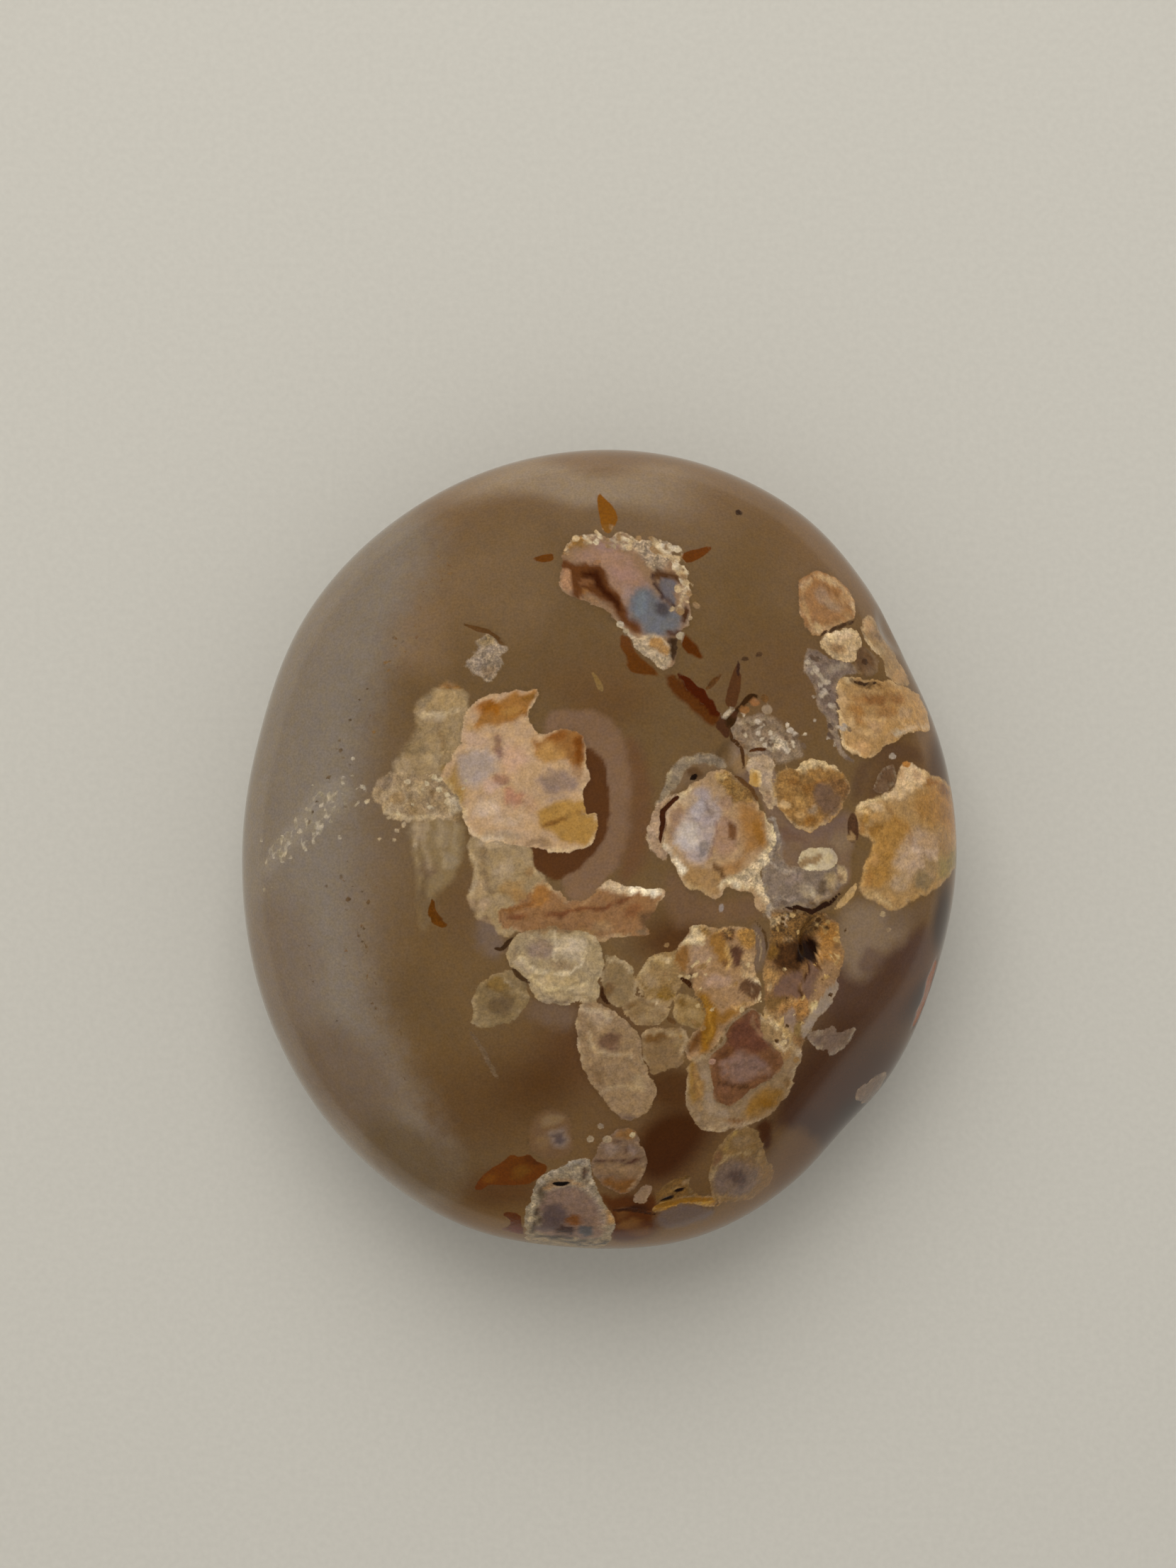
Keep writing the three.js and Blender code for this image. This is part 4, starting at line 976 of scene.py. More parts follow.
        Spot(22.6, -2.2, 0.9, 0.9, "#a58a69"), Spot(24.4, -2.2, 1, 0.8, "#7f6c4f"),
    ), (
        Streak("18.9,3.1 19.6,3.8 20.6,4 21.4,4.2", 0.22, "#d1b583", 0.75, 0.5),
        Streak("22.3,6.2 23.2,6.5 24.1,6.1", 0.22, "#d4ba90", 0.7, 0.5),
        Streak("19,2.5 19.4,1.9 19.2,1.3", 0.16, "#6b4517"),
        Streak("20.4,1 20.2,0 19.6,-1 19.4,-2.2", 0.2, "#bf9557", grit=0.4),
        Streak("21.6,3.4 22,2.4 23,1.6 23.2,.4", 0.2, "#7f5b34", 0.5),
        Streak("22.4,.2 23.6,-.2 24.8,.1 25.6,-.6", 0.16, "#c4a888", 0.5),
        Streak("19.8,-3.1 20.8,-3.2 21.8,-4", 0.22, "#b89a68", grit=0.4),
    ), (
        Patch("20.2,1.9 21.4,2.5 22.6,2.7 23.2,1.7 22.3,.4 21.7,-.8 21.6,-2 20.8,-2.9 19.8,-2.2 19.3,-.8 "
              "19.5,.6 19.9,1.3", "#9b7239", 0.4),
        Patch("20.9,4.2 21.8,4.9 22.2,6.1 23.2,6.7 24,6.5 25,5.8 24.2,4.9 23.4,4.4 22.2,3.8", "#c6a77d",
              0.25, 0.3),
        Patch("23,1.4 24.4,1.7 25.8,.8 25.8,-.8 24.4,-1.8 23.2,-2 22.4,-.8", "#a98f76", 0.7),
        Patch("24.4,4.6 26,4.9 27.4,3.8 28.2,1.8 27,1.2 25.6,2 24,2.6 23.4,3.6", "#97703f", 0.5),
        Patch("25.8,-.2 27.2,.2 28.6,-.8 27.6,-1.6 26.4,-2.2 25.4,-1.8", "#857244", 0.4),
        Patch("18.9,3 19.4,3.8 20.2,3.9 20.9,3.5 20.4,2.8 19.6,2.6", "#c3a373", grit=0.5),
        Patch("19.5,3.2 20,3.4 20.3,3.1 19.8,2.9", "#9a7748", 0.08),
    ), skin=0.3, skin_width=0.3, grit=0.18, soft=0.12, depth=7),
    Plume(Tier.VEIL, "21,-4.2 22.8,-4.2 25.2,-3.2 25.4,-4.6 23.4,-5.8 21.4,-5.9", "#6c5844", soft=0.6,
          share=0.7, depth=7),
    Plume(Tier.UPPER, "20.1,4.3 20.9,6.1 21.9,6.6 22.1,6.1 22.2,5.3 21.5,4.4", "#634a34", (
        Spot(21.3, 5, 0.6, 0.5, "#6d543c"),
    ), (
        Streak("20.1,4.3 20.5,5.3 20.9,6.1 21.9,6.6", 0.12, "#8f7b63", 0.8),
        Streak("22,6.5 22.15,5.6 21.9,4.8 21.4,4.4 20.2,4.3", 0.12, "#8b765c", 0.8),
    ), skin=0, ragged=0.05, depth=2),
)

# The flowers at the upper right, the small druse and the blue basin at the top.
NORTH_FLOWERS = (
    Plume(Tier.LOWER, "20,17.7 20.5,17.9 21.2,17.2 21.5,16.3 22.4,15.2 23.2,13.9 23.8,12.3 21.9,12.9 "
          "21.5,14.2 19.9,16 19.65,16.8", "#8f7452", (
        Spot(20.3, 16.8, 0.6, 0.8, "#a58460"), Spot(21.3, 16.3, 0.6, 0.7, "#7e664e"),
        Spot(21.3, 15.2, 0.6, 0.5, "#98805e"), Spot(22.7, 13.3, 0.7, 0.7, "#9f7e57"),
    ), (
        Streak("20.2,17.6 19.9,16 21,14.8 21.3,13.4", 0.2, "#c3a87f", 0.7, 0.4),
    ), skin=0.35, skin_width=0.3, grit=0.2, depth=4),
    Plume(Tier.LOWER, "15.5,15.25 16.95,14.45 19.1,13.95 19.35,13.4 18.2,13 17.65,12.35 17.6,10.55 "
          "17.7,8.95 18.1,7.2 19,6.7 18.6,6.6 17.95,7 17.55,7.6 16.95,9.6 16.15,10.6 15.9,12.45 15.4,12.95 "
          "15.05,13.9", "#746152", (
        Spot(15.6, 13.8, 0.5, 0.7, "#8d7b6a"), Spot(17.6, 13.6, 1, 0.4, "#96846e"),
        Spot(16.6, 13, 0.6, 0.5, "#867563"), Spot(16.2, 11.2, 0.4, 0.5, "#816d5c"),
    ), skin=0.3, skin_width=0.3, grit=0.3, soft=0.1),
    Plume(Tier.UPPER, "17.6,12.5 18.3,13 19.1,13.1 21,12.75 21.95,13 24.6,11.9 25.4,10 25,8.9 22.85,9 "
          "21.8,7.9 21,7.75 20.7,7.2 19.1,7.05 18.3,7.5 18,8.3 17.6,10.3", "#a07d50", (
        Spot(18, 12.2, 0.5, 0.5, "#ad8b5b"), Spot(18.7, 12.7, 0.5, 0.3, "#b49a72"),
        Spot(19.5, 12.8, 0.6, 0.2, "#8a6841"), Spot(21.5, 12.5, 0.8, 0.4, "#8f6c41"),
        Spot(18.1, 11, 0.5, 0.9, "#b29065"), Spot(19.3, 11.5, 0.7, 0.4, "#987043"),
        Spot(20.8, 11.5, 1.3, 0.6, "#835932"), Spot(22.6, 11.4, 0.8, 0.5, "#896139"),
        Spot(19.2, 10.6, 0.7, 0.5, "#936838"), Spot(21.4, 10.5, 1, 0.6, "#8f683e"),
        Spot(23, 10.3, 0.8, 0.6, "#a18361"), Spot(18.4, 9.4, 0.6, 0.7, "#c09c6b"),
        Spot(19.2, 9.8, 0.5, 0.4, "#946b3f"), Spot(20.5, 9.6, 0.8, 0.4, "#a88660"),
        Spot(18.6, 8.4, 0.6, 0.6, "#ac8655"), Spot(20, 8.9, 0.8, 0.4, "#b29166"),
        Spot(22.4, 8.9, 0.8, 0.3, "#a8977f"), Spot(19.3, 7.8, 0.9, 0.5, "#b68d5c"),
    ), (
        Streak("17.7,12.3 17.7,11.2 17.8,10 18.1,8.9 18.5,7.8 19.4,7.2", 0.22, "#d2b484", 0.75, 0.5),
        Streak("18.8,12.7 20,12.5 21,12.7", 0.14, "#523618", 0.8),
        Streak("19.9,10.1 20.9,9.9 22,10 22.8,9.5", 0.16, "#c09c6c"),
        Streak("23,9.1 24.2,9.2 25,9.4", 0.2, "#bfa788", grit=0.4),
        Streak("20.4,12.1 21.6,11.9 23,11.9", 0.14, "#6a431c", 0.5),
    ), skin=0.35, skin_width=0.28, grit=0.2, depth=4),
    Plume(Tier.UPPER, "16.3,15.9 17.8,16.6 18.9,16.75 19.4,16.5 19.8,15.4 19.25,15 19.1,14.2 18.4,13.95 "
          "17.05,14.6 16.5,15.15", "#b3976f", (
        Spot(17.2, 16, 0.7, 0.5, "#cfb389"), Spot(18.2, 16.1, 0.6, 0.4, "#c8aa85"),
        Spot(17.7, 15.2, 0.9, 0.5, "#98754f"),
    ), (
        Streak("16.8,15.2 17.6,14.8 18.4,15.2 19.2,15.3", 0.16, "#8c6c47"),
        Streak("16.6,15.9 17.6,16.4 18.8,16.5", 0.2, "#dcc49b", grit=0.5),
    ), skin=0.3, grit=0.45),
    Plume(Tier.LOWER, "18.9,14.2 19.3,15 19.9,15.3 20.7,14.9 21.1,14.1 21,13.3 20.3,13 19.5,13.2", "#654c34",
          (
        Spot(20.3, 13.6, 0.5, 0.4, "#6e563f"),
    ), skin=0.2, depth=3),
    Plume(Tier.UPPER, "14.7,20 15,20.6 16.5,21.15 17.2,21 18.45,20.2 19,19.6 19.5,18.35 19.15,17.35 "
          "17.8,16.95 16.3,16.1 15.9,16.1 15.1,16.95 14.95,17.7", "#916a44", (
        Spot(16.9, 19, 0.9, 1, "#90745a"), Spot(17.6, 18.4, 0.6, 0.7, "#957a5d"),
        Spot(16.2, 16.6, 0.5, 0.4, "#aa8f67"), Spot(18.4, 19, 0.6, 0.7, "#9c7a55"),
        Spot(18.4, 17.8, 0.5, 0.4, "#9a7851"),
    ), (
        Streak("15,19.8 15.9,20.6 16.9,20.7 18.2,20 19,19.1 19.3,18.2", 0.3, "#b89a72", 0.85, 0.4),
        Streak("15.1,19.6 15.1,18.2 15.4,17 16,16.3", 0.24, "#a9895f", 0.7, 0.4),
        Streak("16.2,16.4 17.2,16.8 18.2,17.2 19.3,17.6", 0.2, "#bb9c70", grit=0.4),
        Streak("15.9,19.9 16.8,20 17.8,19.5 18.5,18.5", 0.16, "#7d5630", 0.5),
    ), skin=0.4, skin_width=0.25, grit=0.15),
    Plume(Tier.LOWER, "-9,15.9 -8.3,16 -6.7,15 -7.3,14.6 -7.3,14 -6.8,13.6 -7.8,12.7 -8.4,12.6 -8.8,13.2 "
          "-9.5,13.3 -9.8,14 -9.5,14.7 -8.9,14.9 -9.3,15.3", "#948069", (
        Spot(-8.2, 15.6, 0.9, 0.4, "#8c744e"), Spot(-7.9, 13.4, 0.8, 0.6, "#7c6447"),
    ), skin=0.2, grit=0.7, ragged=0.3, soft=0.15),
    Plume(Tier.UPPER, "-2.85,22.35 -2,23.5 -.3,23.6 .5,23.3 1.25,23.75 2,23.75 2.7,23.1 4.85,23.25 5.7,22.5 "
          "5.2,22 5.85,21.45 6.6,19.8 6.5,18.25 6.7,17.5 6.6,16.75 6,16.35 5.7,15.75 5.45,13.95 4.95,13.45 "
          "4.35,13.6 3.85,14.1 2.95,14.45 2.1,16 .35,17.9 -.75,18.25 -2.75,19.25 -3,20", "#8a6c50", (
        Spot(3.1, 18.4, 0.5, 1.1, "#6e7377", -20), Spot(4.5, 17.9, 0.65, 0.8, "#463d3b", 20),
        Spot(5.1, 19.3, 0.4, 0.8, "#6b6362", 30), Spot(0.6, 22.5, 1.2, 0.35, "#8e7062"),
        Spot(1.8, 20.6, 1, 0.6, "#a07b68", -30), Spot(-1.1, 19.2, 0.4, 0.3, "#8a5f35"),
        Spot(2, 19, 0.5, 0.7, "#947a6c", -30), Spot(-0.9, 19.9, 0.6, 0.3, "#7d5433"),
        Spot(5.9, 20.8, 0.4, 0.3, "#b09066", grit=0.7), Spot(-1.2, 23.1, 0.25, 0.2, "#a8763a"),
        Spot(-2.1, 22.6, 0.25, 0.2, "#96692c"), Spot(5.2, 16.9, 0.5, 0.3, "#6d6866"),
    ), (
        Streak("-2.6,22.5 -2.4,23.2 -1.8,23.5", 0.24, "#b79c78", 0.85, 0.9),
        Streak("-.8,23.5 -.3,23.4 .1,23.2", 0.24, "#cdb897", 0.9, 0.9),
        Streak(".8,23.3 1.6,23 2.1,22.4", 0.2, "#b8a284", 0.85, 0.7),
        Streak("1.2,23.6 2,23.7 2.8,23.2", 0.2, "#b5a07e", 0.8, 0.9),
        Streak("3.7,20.9 4.2,19.8 4.9,18.7 5.6,17.8", 0.15, "#37231f", 0.9),
        Streak("1.3,16.9 1.7,16.4 2.2,16", 0.26, "#b9a586", 0.9, 0.7),
        Streak("6.1,20.6 6.4,19.8 6.2,18.9 6,18.2", 0.24, "#b39b78", 0.85, 0.8),
        Streak("6.2,18 6.6,17.4 6.4,16.8", 0.2, "#a08c72", 0.85, 0.7),
        Streak("-2,18.9 -1.2,18.6 -.4,18.4", 0.2, "#8a6540", 0.7, 0.6),
    ), (
        Patch("-2.9,22.9 -2,23.4 -1.2,23.6 -.6,23.3 -.9,22.8 -1.6,22.5 -2.4,22.3 -3,22.1", "#8b642e",
              grit=0.4),
        # The two dark brown areas that follow are painted shade on the left wall of the hollow.
        Patch("-3.1,21.7 -2.2,21.5 -1.2,21.3 -.2,21.2 .4,20.8 .8,20 1.1,19.2 1.6,18.4 2.2,17.7 2.9,17.2 "
              "3.2,16.4 2.4,16.4 1.7,17.1 .9,17.8 .2,18.5 -.4,18.9 -1.2,19.1 -1.9,18.8 -2.1,19.6 -2,20.4 "
              "-2.6,20.2 -3.1,20.8", "#5d3413", 0.2),
        Patch("-1.2,20.7 -.4,20.8 .1,20.3 .4,19.4 .9,18.7 1.6,18 1.2,17.8 .5,18.4 0,19.1 -.5,19.8 -1.1,20.1",
              "#3a1905", 0.2),
        Patch("-2.9,20.7 -2.4,21 -2,20.5 -2.1,19.6 -2.6,19.4 -2.9,20", "#a67a54", 0.12, 0.4),
        Patch("-1.7,22.2 -.6,22.7 .6,22.8 1.6,22.3 2.3,21.6 2.8,20.8 3.3,20.2 3.9,19.6 3.2,19.2 2.4,18.9 "
              "1.8,18.3 1.3,19 .9,19.9 .5,20.7 -.1,21.2 -.9,21.4 -1.6,21.7", "#98765f", 0.25),
        Patch("2.6,19.5 3.4,19.8 4.1,19.4 4.6,18.7 5.1,18 5.7,17.6 6,17 5.7,16.5 4.9,16 4.1,15.8 3.4,16.1 "
              "3,16.9 2.4,17.5 1.9,18.1 2.2,18.9", "#66676a", 0.4),
        Patch("4.2,20.2 4.8,20.3 5.6,19.8 5.7,18.8 5.5,18.1 5,18.6 4.5,19.4", "#635d5e"),
        Patch("3.7,21 4.5,21.2 5.1,20.8 5.8,20.2 5.8,19.8 5.1,20.1 4.5,20.4 4,20.4", "#4d3018"),
        Patch("2.3,23.1 2.5,22.3 3,21.6 3.8,21 4.6,21.1 5.2,21.6 5.7,22.3 5.5,23 4.8,23.4 4,23.2 3.2,23.3",
              "#9d876c", grit=0.9),
        Patch("2.1,16.2 2.8,15.9 3.4,16.1 4.2,16 4.9,15.4 5.1,14.5 5.1,13.5 4.3,13.4 3.6,13.9 2.9,14.6 "
              "2.2,15.4", "#ab9576", 0.1, 0.6),
        Patch("3.4,15.6 4.3,15.9 4.8,15.2 5,14.2 4.5,14.3 4.2,14.9 3.6,15", "#9a713c", 0.12, 0.3),
        Patch("4.9,15.8 5.7,15.7 5.6,14.8 5.3,14 5,14.2 4.9,15", "#33200f", 0.1, 0.1),
        Patch("6,18 6.5,17.8 6.3,17 5.9,16.9", "#482a17", 0.1),
        Patch("4.7,16.3 5.6,16.4 6.2,16.2 6,15.8 5,15.8", "#4f3527", 0.12),
    ), skin=0.3, skin_width=0.2, grit=0.05, rings=0.15),
)

# The flowers by the lower edge.
BOTTOM_FLOWERS = (
    Plume(Tier.LOWER, "8.2,-25.2 8.3,-23.8 8.4,-22.4 9.3,-21.6 9.9,-20.4 11.5,-20.4 12.1,-21.4 12.3,-22.6 "
          "12.9,-23.5 13.4,-24.6 12.9,-25.8 11.7,-26.5 10.2,-26.8 8.9,-26.4", "#745a38", (
        Spot(10.3, -24.6, 1.9, 1.8, "#6a584b", share=0.95, core=0.7), Spot(10.3, -24.5, 1, 0.9, "#514038"),
        Spot(10.8, -21.6, 0.9, 0.6, "#7c6446"), Spot(8.9, -23, 0.5, 0.8, "#694b33"),
    ), (
        Streak("8.6,-24.6 8.8,-23.6 9.5,-22.8 10.6,-22.4 11.8,-22.9 12.4,-23.8", 0.18, "#8c7450", 0.8, 0.3),
        Streak("9.3,-22.2 10,-21.3 10.2,-20.6", 0.14, "#94783f", 0.7, 0.3),
        Streak("9,-26 10.2,-26.3 11.6,-26", 0.16, "#7f653f", 0.7),
    ), skin=0.35, skin_width=0.2, skin_colour="#927a57", grit=0.15, rings=0.5),
    Plume(Tier.LOWER, "-5.8,-29.4 -5.7,-27.6 -5.3,-26.2 -4.8,-24.9 -3.9,-23.8 -2.8,-23.3 -1.6,-22.8 "
          "-.7,-22.6 -.5,-23.4 -.4,-24.4 0,-25.6 .4,-26.8 1,-27.6 1.2,-28.8 .6,-29.8 0,-31 -3,-31.6 "
          "-5.4,-31.2", "#83735c", (
        Spot(-2, -23.3, 0.8, 0.3, "#978b7c"), Spot(-0.9, -23.1, 0.5, 0.4, "#8f7f6d"),
        Spot(-0.9, -24.2, 0.3, 0.6, "#42291a"), Spot(-0.5, -24.6, 0.25, 0.35, "#b7a58a"),
        Spot(0.6, -27.6, 0.35, 0.8, "#9c7647", 20),
    ), (
        Streak("-4.9,-28.8 -4.9,-27.4 -4.6,-26 -4,-25", 0.2, "#3a2917", 0.85),
        Streak("-5.3,-28.6 -5.2,-27 -4.8,-25.6", 0.18, "#9b8a6e", 0.8, 0.9),
        Streak("-4.4,-24.6 -3.6,-23.9 -2.8,-23.6", 0.2, "#a09079", 0.8, 0.9),
        Streak("-3.8,-25 -3.2,-24.7 -2,-24.6 -1.3,-24.9", 0.22, "#8d6c49", 0.85, 0.4),
        Streak("-.9,-25.3 -.4,-26.3 .1,-27.4 .2,-28.6", 0.2, "#8d7763", 0.8, 0.5),
        Streak("-4.6,-29.4 -3,-29.5 -1.4,-29.9 .4,-29.9", 0.25, "#27160a", 0.85),
    ), (
        Patch("-4.6,-26.2 -3.9,-25.2 -2.6,-24.9 -1.4,-25.1 -.7,-25.8 -.2,-26.8 .2,-27.8 .2,-29 -.4,-29.8 "
              "-2.4,-29.6 -4.4,-29.3 -4.7,-27.6", "#765f50", 0.12, 0.1),
        Patch("-4.6,-27.4 -4.1,-26.5 -3.2,-26.2 -2.5,-27 -2.4,-27.8 -3.1,-28.6 -4.2,-28.9 -4.6,-28.3",
              "#544642", 0.2, 0),
        Patch("-2.5,-27.4 -1.8,-27.2 -1.4,-27.8 -1.8,-28.4 -2.5,-28.1", "#6b4420"),
        Patch("-3.6,-28.7 -2.6,-28.3 -1.9,-28.6 -2.1,-29.3 -3.3,-29.2", "#351809"),
        Patch("-1.9,-28.9 -1.4,-28.3 -.7,-28.4 -.6,-29.2 -1.2,-29.6 -1.9,-29.4", "#4d4a49", 0.12),
    ), skin=0.3, skin_width=0.2, skin_colour="#a3937a", grit=0.5, ragged=0.2),
    Plume(Tier.UPPER, "-.6,-23.2 -.3,-22.2 .4,-21.2 1,-20.6 1.8,-20.2 2.6,-20.7 3.1,-21.6 3.5,-22.6 "
          "3.4,-23.6 3,-24.4 2.5,-25.2 1.8,-25.7 .8,-25.3 0,-24.6 -.4,-23.9", "#725a44", (
        Spot(0.9, -22, 0.5, 0.5, "#846f60"), Spot(2.4, -22.1, 0.5, 0.4, "#7d685b"),
        Spot(1.4, -23.7, 1, 0.3, "#84694c"),
    ), (
        Streak("-.4,-23.05 1.2,-23.1 2.2,-22.9 3,-22.8", 0.13, "#3a1c12", 0.9),
        Streak("1,-21.3 1.6,-21.7 2,-22.2", 0.12, "#4d3528", 0.8),
        Streak("3.2,-23.2 2.9,-24.3 2.3,-25.1", 0.14, "#93795a", 0.7),
    ), (
        Patch("1,-20.9 1.8,-20.3 2.6,-20.9 2.4,-21.4 1.6,-21.2", "#7b5730"),
        Patch("-.5,-23.2 1.2,-23.3 3,-23 3.3,-23.7 2.9,-24.5 1.8,-24.5 .5,-24.1", "#785e43", 0.2),
        Patch("-.1,-24.3 1.2,-24.7 2.8,-24.5 2.4,-25.3 1.7,-25.7 .6,-25.2", "#6d4822", 0.2),
    ), skin=0.4, skin_width=0.18, skin_colour="#998064", rings=0.4),
    Plume(Tier.UPPER, "2.4,-26.3 2.6,-25.4 3.2,-24.9 3.9,-24.9 3.8,-25.8 3.4,-26.5", "#7f6750", skin=0.3,
          skin_width=0.15),
    Plume(Tier.LOWER, "4,-26.1 4.4,-25.2 5.2,-24.7 6,-24.2 6.9,-24.1 6.6,-25 7.2,-25.6 7.8,-26.2 6.2,-26 "
          "5,-26.3", "#664a26", (
        Spot(5.4, -25.3, 0.7, 0.15, "#8a6a3c", 25), Spot(6.5, -24.6, 0.4, 0.3, "#7d6446"),
    ), skin=0.4, skin_width=0.18, skin_colour="#8f7750", grit=0.3),
    Plume(Tier.LOWER, "3.9,-27.2 4.4,-26.3 5.4,-26 6.4,-26 8,-25.8 8.9,-26.3 9.4,-27 8.2,-26.8 6.8,-26.4 "
          "5.4,-26.7 4.4,-27.3", "#7b5824", (
        Spot(5, -26.4, 0.7, 0.25, "#a67f3c"), Spot(8, -26.4, 0.7, 0.2, "#957337"),
    ), skin=0.3, skin_width=0.2, grit=0.3, depth=6),
)
FLOWERS = WEST_FLOWERS + SOUTH_FLOWERS + EAST_FLOWERS + NORTH_FLOWERS + BOTTOM_FLOWERS

# Amber chips and thin brown slivers.
AMBER_CHIPS = (
    Plume(Tier.CHIP, "-.2,27 .35,26.5 1,25.8 1.4,25 1.3,24.4 .9,23.9 .6,23.6 .2,23.9 .05,24.6 -.1,25.6",
          "#7b4c03", (
        Spot(0.8, 24.1, 0.5, 0.4, "#7d531d"),
    ), skin=0, rings=0, ragged=0.04, depth=2),
    Plume(Tier.CHIP, "-5.2,21.7 -3.9,22.1 -3.35,22.1 -3.4,21.6 -3.9,21.4 -4.5,21.45", "#633706", skin=0,
          rings=0, ragged=0.04),
    Plume(Tier.CHIP, "6,21.9 6.3,22.3 8.2,22.75 8.35,22.6 8.2,22.3 6.8,21.4 6.3,21.4", "#633505", skin=0,
          rings=0, ragged=0.04),
    Plume(Tier.CHIP, "1.35,16 1.9,16.05 2.3,15.6 2.9,14.2 3.6,13.9 4.5,12.9 2.6,13.1 2.1,13.6", "#5e340c",
          skin=0, rings=0, soft=0.12),
    Plume(Tier.CHIP, "6.1,16.2 7.2,15.2 7.7,14.2 7.4,14.1 6.2,14.8 5.9,15.4", "#562b05", skin=0, rings=0,
          soft=0.12),
    Plume(Tier.CHIP, "-9.6,-25.3 -8.2,-23.6 -7.2,-23.1 -6.6,-22.3 -6,-22.7 -5.2,-22.3 -4.9,-22.8 -3.6,-23.4 "
          "-4.8,-24.7 -6,-24.9 -8.3,-24.9 -9,-25.5", "#5c320a", (
        Spot(-6, -23.9, 1, 0.6, "#644014"), Spot(-8.2, -24.6, 0.8, 0.4, "#6a4010", 40),
        Spot(-5, -22.9, 0.8, 0.5, "#4c280a"),
    ), skin=0, rings=0, ragged=0.05, depth=3),
    Plume(Tier.CHIP, "-7.6,-27.6 -6.9,-27.1 -6,-27.3 -6,-27.8 -5.9,-28.8 -5.8,-29.3 -6.9,-29.2 -7.6,-28.9 "
          "-6.9,-28.6 -6.7,-27.9", "#553000", (
        Spot(-6.4, -28.9, 0.5, 0.4, "#5a2a08"),
    ), skin=0.1, rings=0.2, depth=4),
    Plume(Tier.CHIP, "-.65,13.3 -.3,13.05 .1,12.5 .35,11.75 -.15,11.95 -.35,12.45", "#7d6136", skin=0.1,
          rings=0, ragged=0.05),
    Plume(Tier.CHIP, "5,13.2 6,12.6 7,11.6 8.2,10.6 9,9.9 8.4,9.2 7.4,9.7 6.4,10.8 5.4,11.8 4.7,12.6",
          "#572f0d", skin=0, rings=0, soft=0.25),
    Plume(Tier.CHIP, "5.5,13.3 6.2,13 6.8,12.5 7.5,12 8.1,11.3 8.5,10.6 9,10.1 8.6,9.9 7.9,10.4 7.2,11.2 "
          "6.2,12.1", "#471a03", skin=0, rings=0, soft=0.08),
    Plume(Tier.CHIP, "8.8,9.9 9.3,9.6 9.5,9 9.3,8.3 8.9,8.6 8.4,9.3", "#4a2d1a", skin=0, rings=0),
    Plume(Tier.CHIP, "9,10.8 9.5,12.6 10.15,14.1 10.25,13.2 10.4,12.9 10,10.5", "#54341c", skin=0, rings=0,
          ragged=0.06),
    Plume(Tier.CHIP, "9.3,9 9.2,9.6 9.4,10.3 9.9,10.5 10.8,11.7 11.5,11.65 11.7,11.3 10.9,11.1 10.1,10.4 "
          "10,9.5", "#38230f", (
        Spot(10.1, 10.2, 0.5, 0.4, "#4b2d1a"),
    ), skin=0, rings=0, ragged=0.06),
    Plume(Tier.CHIP, "10.1,10.45 10.4,10.8 10.9,10.7 11,10.3 10.5,10.1", "#83582f", skin=0.2, rings=0,
          ragged=0.05),
    Plume(Tier.CHIP, "10.9,11.1 11.2,11.35 11.7,11.2 11.75,10.8 11.2,10.7", "#8b5e37", skin=0.2, rings=0,
          ragged=0.05),
    Plume(Tier.CHIP, "11.8,10.5 12,10.9 12.5,10.9 12.75,10.4 12.4,10.1 12,10.15", "#8f795f", skin=0.3,
          rings=0, ragged=0.05),
    Plume(Tier.CHIP, "8.9,9.9 9.2,10.4 9.7,10.7 9.7,10.3 9.3,9.8", "#a8967c", skin=0.2, grit=0.6, rings=0,
          ragged=0.06),
    Plume(Tier.CHIP, "8.6,-3.9 8.9,-3.5 9.1,-4.1 8.8,-4.5", "#8b7c70", skin=0, rings=0, ragged=0.04),
)

